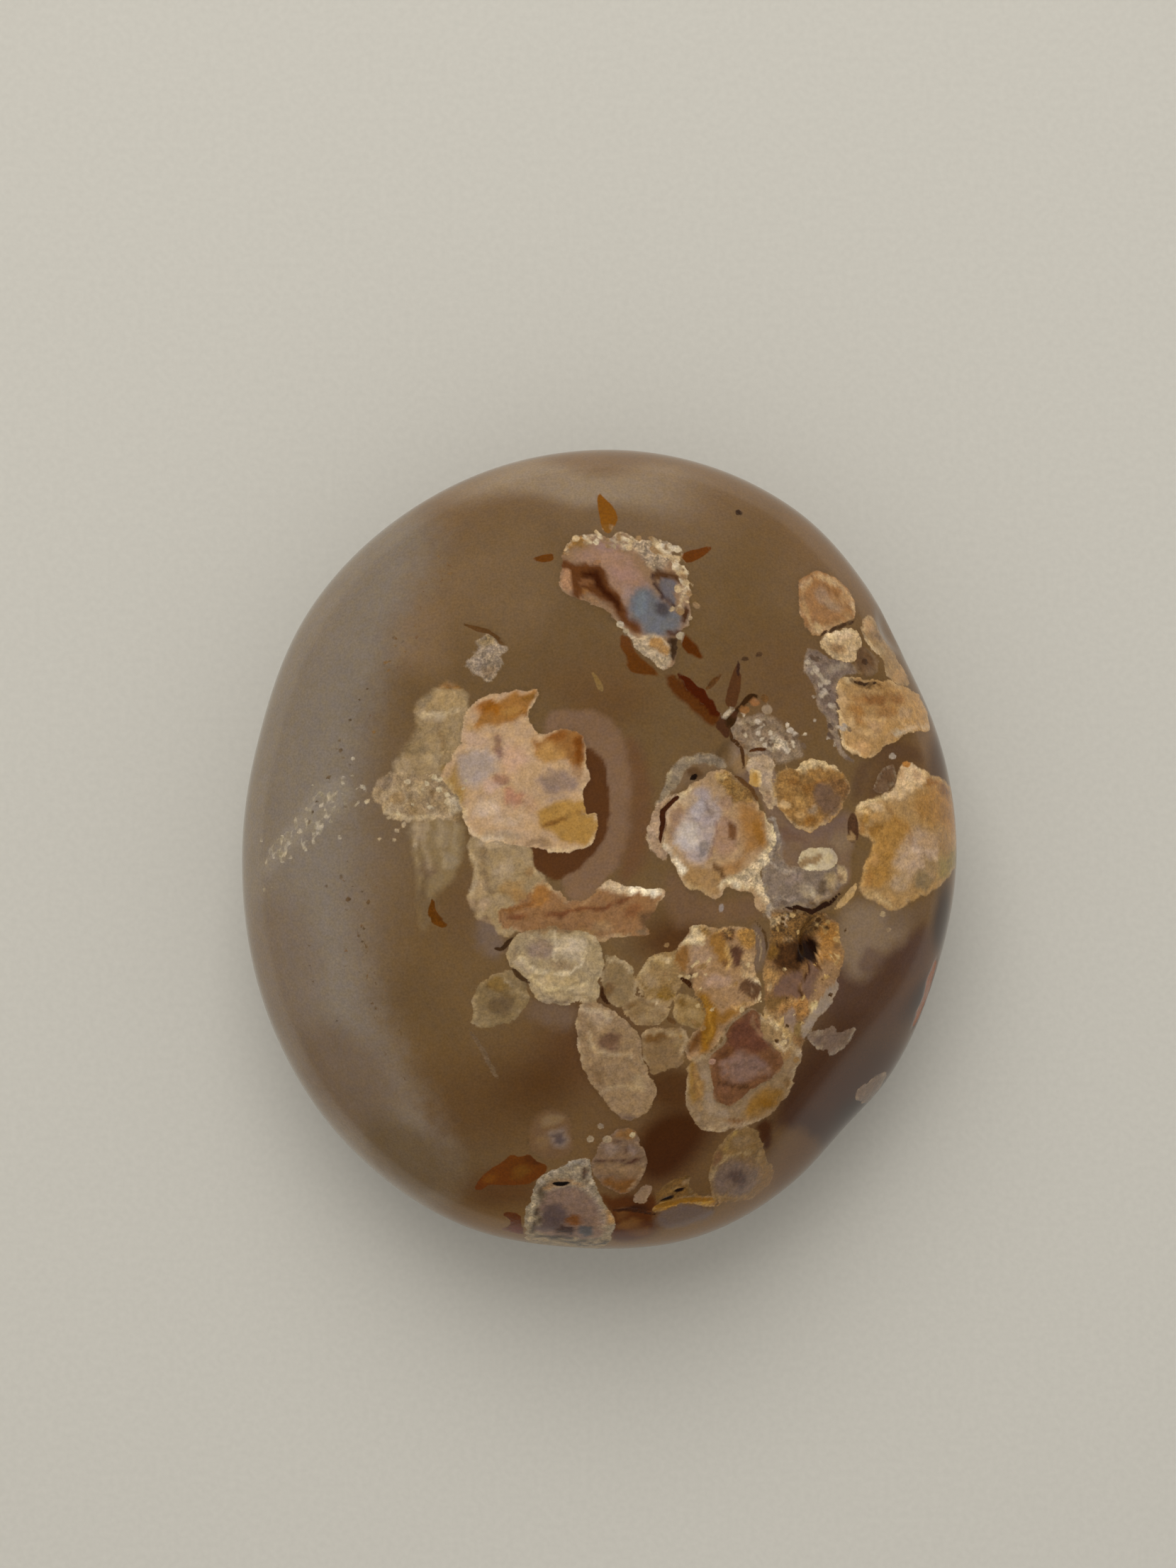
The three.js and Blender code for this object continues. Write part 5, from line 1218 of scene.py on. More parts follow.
# Healed cracks and crisp dark lines.
CRACKS = (
    Crack("5.7,4.05 5.25,3.7 4.8,3.35 4.5,3.05 4.55,2.3 4.45,1.6 4.4,.85", 0.19, "#3e1d0a"),
    Crack("9.9,5.7 10.5,5.2 11.1,4.5 11.6,3.8", 0.16, "#5a3c1e"),
    Crack("9.4,9.35 9.65,8.35 10.4,7.6 10.5,6.2", 0.16, "#4a2f17"),
    Crack("11,7.45 11.6,7.6 12.2,7.5", 0.15, "#4e2c12"),
    Crack("7.9,11.9 8.4,12.5 8.9,13.1", 0.19, "#5b3a1a"), Crack("10.1,13 10.2,14.1", 0.14, "#3d261a"),
    Crack("18.95,-2.4 18.55,-3 17.95,-3.75 17.4,-4.1", 0.28, "#ab8b5c"),
    Crack("19.3,17.3 18.35,16.95 17.4,16.65 16.3,16.1", 0.15, "#4a3521"),
    Crack("19,12.7 19.95,12.55 20.8,12.65", 0.15, "#3f2c1a"),
    Crack("-12.3,-3.6 -12.35,-4.3 -12,-4.9 -11.3,-5.3", 0.31, "#5e3505"),
    Crack("-9.6,-13 -8.6,-14.6 -7.5,-16.6", 0.19, "#6b553c"),
    Crack("-10,16.8 -8.6,16.4 -7.4,15.7 -7,15.3", 0.16, "#5a3c1c"),
    Crack("-6.4,-8.35 -5.9,-9 -5.2,-9.55", 0.16, "#45301a"),
    Crack("-7.65,-6.9 -7.2,-7 -6.7,-6.6 -6.3,-6.2", 0.16, "#3d2814"),
    Crack(".05,-9.8 .1,-10.4 .7,-11", 0.17, "#3b220f"), Crack("5.9,-9.1 6.4,-9.4 6.6,-9.9", 0.19, "#3a1f0a"),
    Crack("5,-11.9 5.2,-12.2 5.5,-12.4", 0.19, "#5f4222"), Crack("6.6,5.45 6.8,5.55 7,5.7", 0.17, "#1e120a"),
    Crack("-3.5,-24.75 -2.9,-24.8 -2.2,-24.7", 0.15, "#140b05"),
    Crack("4.2,-26.7 5,-26.5 6.6,-26.2 8.6,-26.2", 0.22, "#79551f"),
    Crack("4.6,-26.15 5.1,-26 5.6,-25.85", 0.15, "#1c0e06"),
    Crack("5.6,-25.45 6,-25.35 6.4,-25.2", 0.14, "#1c0e06"),
    Crack("1,-27.1 2.4,-27 4.2,-27.4", 0.15, "#3a220e"),
    Crack("24.3,-13.6 25.2,-11.4 25.8,-8.6", 0.31, "#84501f"),
    Crack("13.5,-4.1 14.6,-4 15.6,-4.4 17,-3.7 17.8,-3", 0.18, "#2e1a0e"),
    Crack("11.4,-5 12.1,-5.9 12.2,-6.8 12,-7.8", 0.1, "#50391f"),
    Crack("11.1,-5.6 11.7,-6.3 11.8,-7 11.7,-7.9", 0.1, "#8d7658"),
)

# Single bright or dark grains.
CRUMBS = (
    Spot(-0.7, -21.2, 0.3, 0.3, "#8b7860"), Spot(0.55, -21.2, 0.35, 0.3, "#907c62"),
    Spot(0.05, -20.2, 0.25, 0.25, "#84715a"), Spot(21.9, 7.1, 0.3, 0.25, "#9a8975"),
    Spot(21.05, -4.65, 0.25, 0.22, "#a58c66"), Spot(21.55, -5.8, 0.22, 0.2, "#927a5c"),
    Spot(12.1, 11.3, 0.3, 0.3, "#6b4a26"), Spot(10.7, 14.3, 0.3, 0.2, "#4d3620"),
    Spot(11.7, 14.6, 0.3, 0.2, "#4f3822", 20), Spot(10.5, 25.5, 0.3, 0.25, "#3f2c1a"),
    Spot(18.7, 1.75, 0.45, 1.1, "#4e3420"), Spot(18.5, 1.1, 0.35, 0.3, "#9a7a50"),
    Spot(19.9, 14.2, 0.3, 0.25, "#4a3420"), Spot(5.7, 22.5, 0.35, 0.3, "#c4b194"),
    Spot(4.3, 22.7, 0.45, 0.35, "#cbbb9f"), Spot(1.5, 16.8, 0.3, 0.25, "#a8977c"),
    Spot(1.9, 16.3, 0.25, 0.22, "#a08d6f"), Spot(5.9, 15.9, 0.35, 0.3, "#a6957a"),
    Spot(-11.1, 3.7, 0.3, 0.25, "#bba684"), Spot(-14.1, 5.2, 0.25, 0.2, "#b5a07d"),
    Spot(8.3, -15.4, 0.3, 0.25, "#94715a"), Spot(23, 6.5, 0.35, 0.25, "#a9743a"),
    Spot(11.5, -9.4, 0.2, 0.12, "#c9b38c", 30), Spot(11.8, -10.9, 0.18, 0.12, "#bfa67c"),
    Spot(-0.2, 21.4, 0.3, 0.2, "#8d6645"), Spot(6.7, 5.5, 0.24, 0.1, "#24150a", 45),
    Spot(2.4, -20.9, 0.25, 0.2, "#a3906f"),
)

# Where single dark specks lie.
SPECK_PLACES = trace(
    "-20.2,5.5 -21,3.7 -21.4,3 -19.3,8.3 -19.2,7.6 -18.5,9.8 -17.8,11.3 -17.2,12.1 -15.3,15.9 -14.6,15.6 "
    "-19.1,-1.8 -17.5,-2.9 -17.4,-5.6 -17.5,-6.6 -17.7,-8.9 -21.7,-8.5 -21.1,-9 -21.4,-9.7 -18.9,-8.4 "
    "-19.6,-12.6 -24.2,-11 -23.5,-13.2"
)

# How the markings are painted.
REACH = 1.6  # millimetres outside its outline that a marking still measures
OUTSIDE = -3.0  # the edge value where no marking is near
RUST = "#a07a45"  # the iron that stains a flower's outermost growth in places
RUST_SHARE = 0.6  # how much of the rust shows where it is strongest
SKIN_SHARE = 0.7  # how much of a flower's outermost growth the polish left in sight
SPOT_END = 1.15  # where an oval has faded out, against its own size
TOP_DEPTH = 3.0  # how far down the side a crack or a grain may lie, in millimetres
CRISP = 0.05  # half the width of a crisp edge in millimetres
CRACK_GRIT = 0.2  # how grainy a crack is
CRUMB_GRIT = 0.3  # how grainy a single grain is
SPECK = Spot(0, 0, 0.15, 0.13, "#5c4a34")  # a dark speck deep in the stone


class Layer:
    """One crisp tier's values at each point of the surface."""

    def __init__(self, count: int) -> None:
        """Start with nothing painted.

        Args:
            count: How many points the surface has.
        """
        self.tint = np.tile([*linear(MATRIX), 0.06], (count, 1))
        self.edge = np.full(count, OUTSIDE)
        self.grit = np.zeros(count)
        self.rings = np.zeros(count)


@dataclass(frozen=True)
class ViewLight:
    """What the finished view's light does to a colour on the stone, fitted to plain test stones.

    The polish mirrors the room over the stone's own colour, more so down its shoulder, and the lamp
    behind the stone lights its near side and its shoulder less. The markings carry this in reverse as
    painted light: lighter where the lamp gives less light, darker where the polish mirrors more.

    Attributes:
        middle: The light on the middle of the top, against full light.
        along_x: What it gains for each millimetre towards +X.
        along_y: What it gains for each millimetre towards +Y.
        shoulder_loss: What it loses down the shoulder, for each square millimetre of fall.
        shoulder_end: How far down the shoulder goes, in millimetres.
        mirrored: What the polish mirrors on the top, in linear light.
        mirror_growth: How fast that grows down the shoulder, for each millimetre.
        ground_mirrored: What the ground face mirrors of the table, in linear light.
        ground_way: Which way the ground face looks, seen from above.
        ground_reach: How far out that way the face starts and is whole, in millimetres.
        unseen: How far down the flank leaves the view and is out of it, in millimetres.
    """

    middle: float = 0.9
    along_x: float = -0.0017
    along_y: float = 0.0055
    shoulder_loss: float = 0.0045
    shoulder_end: float = 8.5
    mirrored: float = 0.001
    mirror_growth: float = 0.5
    ground_mirrored: float = 0.028
    ground_way: tuple[float, float] = (0.777, -0.629)
    ground_reach: tuple[float, float] = (23.5, 27.0)
    unseen: tuple[float, float] = (9.0, 14.0)

    def undo(self, colour: str, points: np.ndarray, fall: np.ndarray) -> np.ndarray:
        """Turn a colour of the finished view into a base colour that holds painted light in reverse.

        It is lighter where the lamp gives less light and darker where the polish mirrors more.

        Args:
            colour: The sRGB colour in the finished view.
            points: The surface points that have it.
            fall: How far each lies under the stone's highest point, as a column.

        Returns:
            The linear colour of the stone at each point. Out of the view it is the colour as it is.
        """
        shoulder = np.minimum(fall, self.shoulder_end)
        light = self.middle + self.along_x * points[:, :1] + self.along_y * points[:, 1:2]
        light = light * (1 - self.shoulder_loss * shoulder**2)
        outward = self.ground_way[0] * points[:, :1] + self.ground_way[1] * points[:, 1:2]
        mirrored = self.mirrored * np.exp(self.mirror_growth * shoulder)
        mirrored = mirrored + self.ground_mirrored * smooth(*self.ground_reach, outward)
        plain = linear(colour)
        undone = (plain - mirrored * plain / (plain + mirrored)) / light
        return undone + smooth(*self.unseen, fall) * (plain - undone)


class Canvas:
    """The stone's surface as points that the markings are painted on.

    The points carry what the eye can see from a step away, and the material adds what is finer than
    their spacing.

    Attributes:
        light: What the finished view's light does to a colour.
        drift_reach: How far a marking inside a body strays in wide bends, in millimetres.
        wander_reach: How far it strays in fine ones.
        drift_size: The width of a wide bend.
        wander_sizes: The widths of the fine bends.
    """

    light: ViewLight = ViewLight()
    drift_reach: float = 0.22
    wander_reach: float = 0.24
    drift_size: float = 1.7
    wander_sizes: tuple[float, float] = (0.9, 0.36)

    def __init__(self, points: np.ndarray, drop: np.ndarray) -> None:
        """Take the surface's points.

        Args:
            points: The places in millimetres in the stone's frame, one row each.
            drop: How far each lies under the smooth top.
        """
        self.points = points
        self.drop = drop
        self.fall = points[:, 2].max() - points[:, 2]
        self.matrix = self.own(MATRIX, np.arange(len(points)))
        self.veil = np.tile([*linear(MATRIX), 0.0], (len(points), 1))
        self.layers = {tier: Layer(len(points)) for tier in CRISP_TIERS}
        fine = [lattice_noise(points, self.wander_sizes[0], seed) for seed in (11, 12)]
        finer = [lattice_noise(points, self.wander_sizes[1], seed) for seed in (13, 14)]
        self.wander = np.stack([a + 0.7 * b for a, b in zip(fine, finer)], axis=1)
        drift = [lattice_noise(points, self.drift_size, seed) for seed in (15, 16)]
        self.drift = np.stack(drift, axis=1)

    def own(self, colour: str, near: np.ndarray) -> np.ndarray:
        """Turn a colour of the finished view into the linear base colour at some points.

        The base colour holds the view's light in reverse as painted light: lighter where the lamp gives
        less, darker where the polish mirrors more.

        Args:
            colour: The sRGB colour in the finished view.
            near: The indices of the surface points that have it.

        Returns:
            The colour at each point.
        """
        return self.light.undo(colour, self.points[near], self.fall[near, None])

    def near(self, points: Points | np.ndarray, margin: float, depth: float) -> np.ndarray:
        """Find the surface points about a marking.

        Args:
            points: The marking's own points.
            margin: How far around them to look.
            depth: How far under the smooth top to look.

        Returns:
            The indices of the surface points.
        """
        low, high = np.min(points, axis=0) - margin, np.max(points, axis=0) + margin
        place = self.points[:, :2]
        return np.flatnonzero(((place > low) & (place < high)).all(axis=1) & (self.drop < depth))

    @staticmethod
    def oval(spot: Spot, place: np.ndarray) -> np.ndarray:
        """Measure places against an oval: 0 in its middle and 1 on its edge."""
        turn = math.radians(spot.turn)
        dx, dy = place[:, 0] - spot.x, place[:, 1] - spot.y
        along = (dx * math.cos(turn) + dy * math.sin(turn)) / spot.long
        across = (dy * math.cos(turn) - dx * math.sin(turn)) / spot.wide
        return np.hypot(along, across)

    def paint_matrix(self, spots: tuple[Spot, ...]) -> None:
        """Colour the stone that holds the flowers, with wide clouds that fade down its sides.

        The clouds give its tone, and at the rim painted light and painted shade.

        Args:
            spots: The clouds.
        """
        every = np.arange(len(self.points))
        cloud = 2.0 * np.stack([lattice_noise(self.points, 6, seed) for seed in (21, 22)], axis=1)
        for spot in spots:
            at = self.oval(spot, self.points[:, :2] + cloud)
            share = spot.share * smooth(1, spot.core, at) * smooth(12, 5, self.drop)
            self.matrix += share[:, None] * (self.own(spot.colour, every) - self.matrix)

    def paint(self, plume: Plume) -> None:
        """Paint one body over what its tier holds.

        Args:
            plume: The body.
        """
        outline = cut_corners(trace(plume.outline), 2)
        near = self.near(outline, REACH + plume.soft, plume.depth + REACH)
        place = self.points[near, :2] + plume.ragged * self.wander[near]
        distance = inside_distance(place[:, 0], place[:, 1], outline)
        distance = np.minimum(distance, plume.depth - self.drop[near])
        colour, grit = self.colour_inside(plume, near)
        if plume.tier is Tier.VEIL:
            self.lay_veil(near, colour, plume.share * smooth(-plume.soft, plume.soft, distance))
            return
        self.grow_skin(plume, near, distance, colour, grit)
        self.put(self.layers[plume.tier], near, distance, colour, grit, plume.rings, plume.soft)

    def colour_inside(self, plume: Plume, near: np.ndarray) -> tuple[np.ndarray, np.ndarray]:
        """Colour a body with the areas, then the ovals, then the lines inside it.

        Args:
            plume: The body.
            near: The surface points about it.

        Returns:
            The colour and the grit at each point.
        """
        wander = self.wander[near]
        loose = self.points[near, :2] + self.drift_reach * self.drift[near] + self.wander_reach * wander
        marks = []
        for patch in plume.patches:
            within = inside_distance(loose[:, 0], loose[:, 1], cut_corners(trace(patch.outline), 1))
            marks.append((patch, smooth(-patch.soft, patch.soft, within)))
        for spot in plume.spots:
            marks.append((spot, smooth(SPOT_END, spot.core, self.oval(spot, loose))))
        breaks = smooth(-1.2, 0.2, wander[:, 1])
        for streak in plume.streaks:
            away, _ = line_distance(loose[:, 0], loose[:, 1], trace(streak.points))
            marks.append((streak, smooth(1.3 * streak.width, 0.3 * streak.width, away) * breaks))
        colour = self.own(plume.body, near)
        grit = np.full(len(near), plume.grit)
        for mark, share in marks:
            share = mark.share * share
            colour += share[:, None] * (self.own(mark.colour, near) - colour)
            if mark.grit is not None:
                grit += share * (mark.grit - grit)
        return colour, grit

    def grow_skin(
        self, plume: Plume, near: np.ndarray, distance: np.ndarray, colour: np.ndarray, grit: np.ndarray,
    ) -> None:
        """Lay the pale outermost growth along a body's edge, broken and stained in places.

        Args:
            plume: The body.
            near: The surface points about it.
            distance: How far inside it each lies.
            colour: The colour at each, which this changes.
            grit: The grit at each, which this changes.
        """
        width = plume.skin_width * (1 + 0.7 * self.drift[near, 0]) + 0.01
        rim = SKIN_SHARE * plume.skin * smooth(width, 0.3 * width, distance)
        rim = rim * smooth(-0.3, 0.5, self.wander[near, 0])
        skin, rust = self.own(plume.skin_colour, near), self.own(RUST, near)
        skin += (RUST_SHARE * smooth(0.0, 0.6, self.drift[near, 1]))[:, None] * (rust - skin)
        colour += rim[:, None] * (skin - colour)
        np.maximum(grit, 0.8 * rim, out=grit)

    def lay_veil(self, near: np.ndarray, colour: np.ndarray, cover: np.ndarray) -> None:
        """Lay a soft body over the veils that are there.

        Args:
            near: The surface points it reaches.
            colour: Its colour at each.
            cover: How much of it shows at each.
        """
        under = self.veil[near]
        total = cover + under[:, 3] * (1 - cover)
        mixed = colour * cover[:, None] + under[:, :3] * (under[:, 3] * (1 - cover))[:, None]
        self.veil[near, :3] = mixed / np.maximum(total, 1e-6)[:, None]
        self.veil[near, 3] = total

    def draw_crack(self, crack: Crack) -> None:
        """Draw a line that narrows towards its ends.

        Args:
            crack: The line.
        """
        points = trace(crack.points)
        near = self.near(np.array(points), REACH, TOP_DEPTH)
        place = self.points[near, :2] + 0.1 * self.wander[near]
        away, along = line_distance(place[:, 0], place[:, 1], points)
        taper = 1 - 0.5 * np.abs(2 * along - 1) ** 3
        distance = crack.width * taper - away
        self.put(self.layers[Tier.CRACK], near, distance, self.own(crack.colour, near), CRACK_GRIT)

    def drop_crumb(self, crumb: Spot) -> None:
        """Put a small grain of another colour on the surface.

        Args:
            crumb: The grain.
        """
        near = self.near(np.array([[crumb.x, crumb.y]]), crumb.long + crumb.wide, TOP_DEPTH)
        at = self.oval(crumb, self.points[near, :2] + 0.06 * self.wander[near])
        distance = (1 - at) * min(crumb.long, crumb.wide)
        self.put(self.layers[Tier.CHIP], near, distance, self.own(crumb.colour, near), CRUMB_GRIT)

    @staticmethod
    def put(
        layer: Layer, near: np.ndarray, distance: np.ndarray, colour: np.ndarray,
        grit: np.ndarray | float, rings: float = 0.0, soft: float = CRISP,
    ) -> None:
        """Write a marking into a layer where it is the nearest.

        Args:
            layer: The layer.
            near: The surface points it reaches.
            distance: How far inside it each lies.
            colour: Its linear colour at each.
            grit: How grainy it is at each.
            rings: How strongly growth lines follow its edge.
            soft: Half the width of its blurred edge in millimetres.
        """
        wins = (distance > 0) | (distance > layer.edge[near])
        taken = near[wins]
        layer.tint[taken] = np.column_stack((colour[wins], np.full(len(taken), soft)))
        layer.edge[taken] = distance[wins]
        layer.grit[taken] = np.broadcast_to(grit, near.shape)[wins]
        layer.rings[taken] = rings


@dataclass(frozen=True)
class Dusting:
    """Fine grains strewn about a line: specks where the chalcedony grew cloudy, and painted glints.

    Attributes:
        line: The line's points, as trace reads them.
        spread: How far from it the grains stray, in millimetres.
        count: How many there are.
        size: Their radii, from and to.
        colours: Their sRGB colours.
        seed: Which random layout it is.
    """

    line: str
    spread: float
    count: int
    size: tuple[float, float]
    colours: tuple[str, ...]
    seed: int

    def strew(self, canvas: Canvas) -> None:
        """Put the grains on the surface.

        Args:
            canvas: The surface to paint on.
        """
        random = np.random.default_rng(self.seed)
        corners = np.array(trace(self.line))
        for _ in range(self.count):
            at = random.uniform(0, len(corners) - 1)
            start = int(at)
            middle = corners[start] + (at - start) * (corners[start + 1] - corners[start])
            x, y = middle + random.normal(0, self.spread, 2)
            long = random.uniform(*self.size)
            wide = long * random.uniform(0.6, 1)
            colour = self.colours[random.integers(len(self.colours))]
            canvas.drop_crumb(Spot(x, y, long, wide, colour, random.uniform(0, 180)))


DUSTINGS = (
    # Pale flecks on the left, painted as glints of bright grains.
    Dusting("-24.8,-.9 -22.4,1.2 -20.4,3.2 -18.6,4.8", 0.75, 110, (0.1, 0.2),
            ("#a2957f", "#94876f", "#b0a188"), 51),
    Dusting("-11.4,22 -13.4,18 -15.4,13 -16.8,8.6", 0.5, 42, (0.08, 0.18), ("#6f5236", "#7a5c38"), 52),
    Dusting("-18.2,-1 -17.9,-5 -17.2,-9 -15.6,-13 -13.6,-17", 0.6, 46, (0.08, 0.18),
            ("#5f4930", "#6c5236"), 53),
    Dusting("-21,9 -19.6,5 -20.2,0 -20.4,-6 -21.4,-12", 1.4, 26, (0.08, 0.18), ("#6d5b46",), 54),
    Dusting("-16.4,3 -14,1.8 -11.4,5 -10.6,2.6", 0.9, 26, (0.12, 0.26), ("#b9a684", "#a99372"), 55),
    Dusting("3,-8 6,-9 8.4,-10 10.6,-11 12.4,-13", 1.5, 40, (0.12, 0.26), ("#b59b70", "#8b6a40"), 56),
    Dusting("-2,23 1,23.3 4.5,22.7 6.2,20.6 6.3,17.6", 0.35, 60, (0.16, 0.34),
            ("#c6b290", "#a8906c", "#b79c74", "#8d6f4b"), 57),
    Dusting("15.6,14.6 16.6,12.6 17,10.4 17.6,8.2", 0.5, 50, (0.12, 0.26), ("#a5947e", "#5d4a3a"), 58),
    Dusting("13,-5 16.8,-5.6 17.4,-8 15.8,-11 13.4,-13", 0.6, 44, (0.12, 0.24),
            ("#b0905c", "#9c7b48", "#4b3216"), 59),
    Dusting("10.4,9 12.4,8.6 14.4,7.8", 0.6, 36, (0.12, 0.24), ("#b8a68c", "#69543f"), 60),
)


@dataclass(frozen=True)
class HiddenFlowers:
    """Flowers under the widest line, where nothing of the stone is seen from above.

    They are clusters of balls that the surface cuts, so that the sides and the underside go on as
    the top does.

    Attributes:
        count: How many clusters there are.
        reach: How far from the middle the clusters lie, from and to.
        balls: How many balls a cluster has, from and up to.
        radius: The balls' radii, from and to.
        bowl: The underside's height at its edge, how far out that is, and how late it rises.
        buried: How far under the underside the clusters lie, in millimetres.
        top_drop: How far under the smooth top the first of them shows, in millimetres.
        palette: The bodies' colours, each with its heart's colour.
        grit: How grainy they are.
        rings: How strongly growth lines follow their edges.
        soft: Half the width of their blurred edges.
        seed: Which random layout it is.
    """

    count: int = 30
    reach: tuple[float, float] = (6.0, 27.0)
    balls: tuple[int, int] = (3, 7)
    radius: tuple[float, float] = (1.3, 3.4)
    bowl: tuple[float, float, float] = (9.0, 30.0, 2.5)
    buried: float = 0.5
    top_drop: float = 3.5
    palette: tuple[tuple[str, str], ...] = (
        ("#a18560", "#8b7561"), ("#96703f", "#6c533f"), ("#8d7355", "#745944"),
        ("#b39a78", "#a08d7e"), ("#82664a", "#5f3922"), ("#9c8660", "#7f6646"),
    )
    grit: float = 0.1
    rings: float = 0.5
    soft: float = 0.08
    seed: int = 31

    def paint(self, canvas: Canvas) -> None:
        """Paint the clusters into the lower tier.

        Args:
            canvas: The surface to paint on.
        """
        random = np.random.default_rng(self.seed)
        points = canvas.points
        place = points + 0.25 * np.column_stack((canvas.wander, canvas.wander[:, :1]))
        layer = canvas.layers[Tier.LOWER]
        limit = canvas.drop - self.top_drop
        rise, width, steepness = self.bowl
        for _ in range(self.count):
            angle = random.uniform(0, 2 * math.pi)
            away = random.uniform(*self.reach)
            height = rise * (away / width) ** steepness - self.buried
            middle = np.array([away * math.cos(angle), away * math.sin(angle), height])
            body, heart = self.palette[random.integers(len(self.palette))]
            for _ in range(random.integers(*self.balls)):
                radius = random.uniform(*self.radius)
                offset = random.normal(0, 1, 3)
                centre = middle + offset / np.linalg.norm(offset) * radius * 0.9
                distance = np.minimum(radius - np.linalg.norm(place - centre, axis=1), limit)
                taken = np.flatnonzero((distance > -REACH) & (distance > layer.edge))
                depth = smooth(0.2, 0.7 * radius, distance[taken])[:, None]
                colour = linear(body) + depth * (linear(heart) - linear(body))
                layer.tint[taken] = np.column_stack((colour, np.full(len(taken), self.soft)))
                layer.edge[taken] = distance[taken]
                layer.grit[taken] = self.grit
                layer.rings[taken] = self.rings


def add_node(
    tree: bpy.types.NodeTree, kind: str, feeds: dict[str | int, object] | None = None, **settings: object,
) -> bpy.types.Node:
    """Add a node with its settings and what feeds its sockets.

    Args:
        tree: The node tree.
        kind: The node's type name.
        feeds: For each input socket, a value, another node's socket, or a node for its first output.
        settings: The node's own properties.

    Returns:
        The new node.
    """
    node = tree.nodes.new(kind)
    for name, value in settings.items():
        setattr(node, name, value)
    for name, value in (feeds or {}).items():
        if isinstance(value, bpy.types.Node):
            value = next(output for output in value.outputs if output.enabled)
        if isinstance(value, bpy.types.NodeSocket):
            tree.links.new(value, node.inputs[name])
        else:
            node.inputs[name].default_value = value
    return node


def new_material(name: str) -> tuple[bpy.types.Material, bpy.types.NodeTree]:
    """Make an empty material.

    Args:
        name: What it is called.

    Returns:
        The material and its node tree.
    """
    material = bpy.data.materials.new(name)
    material.use_nodes = True
    material.node_tree.nodes.clear()
    return material, material.node_tree


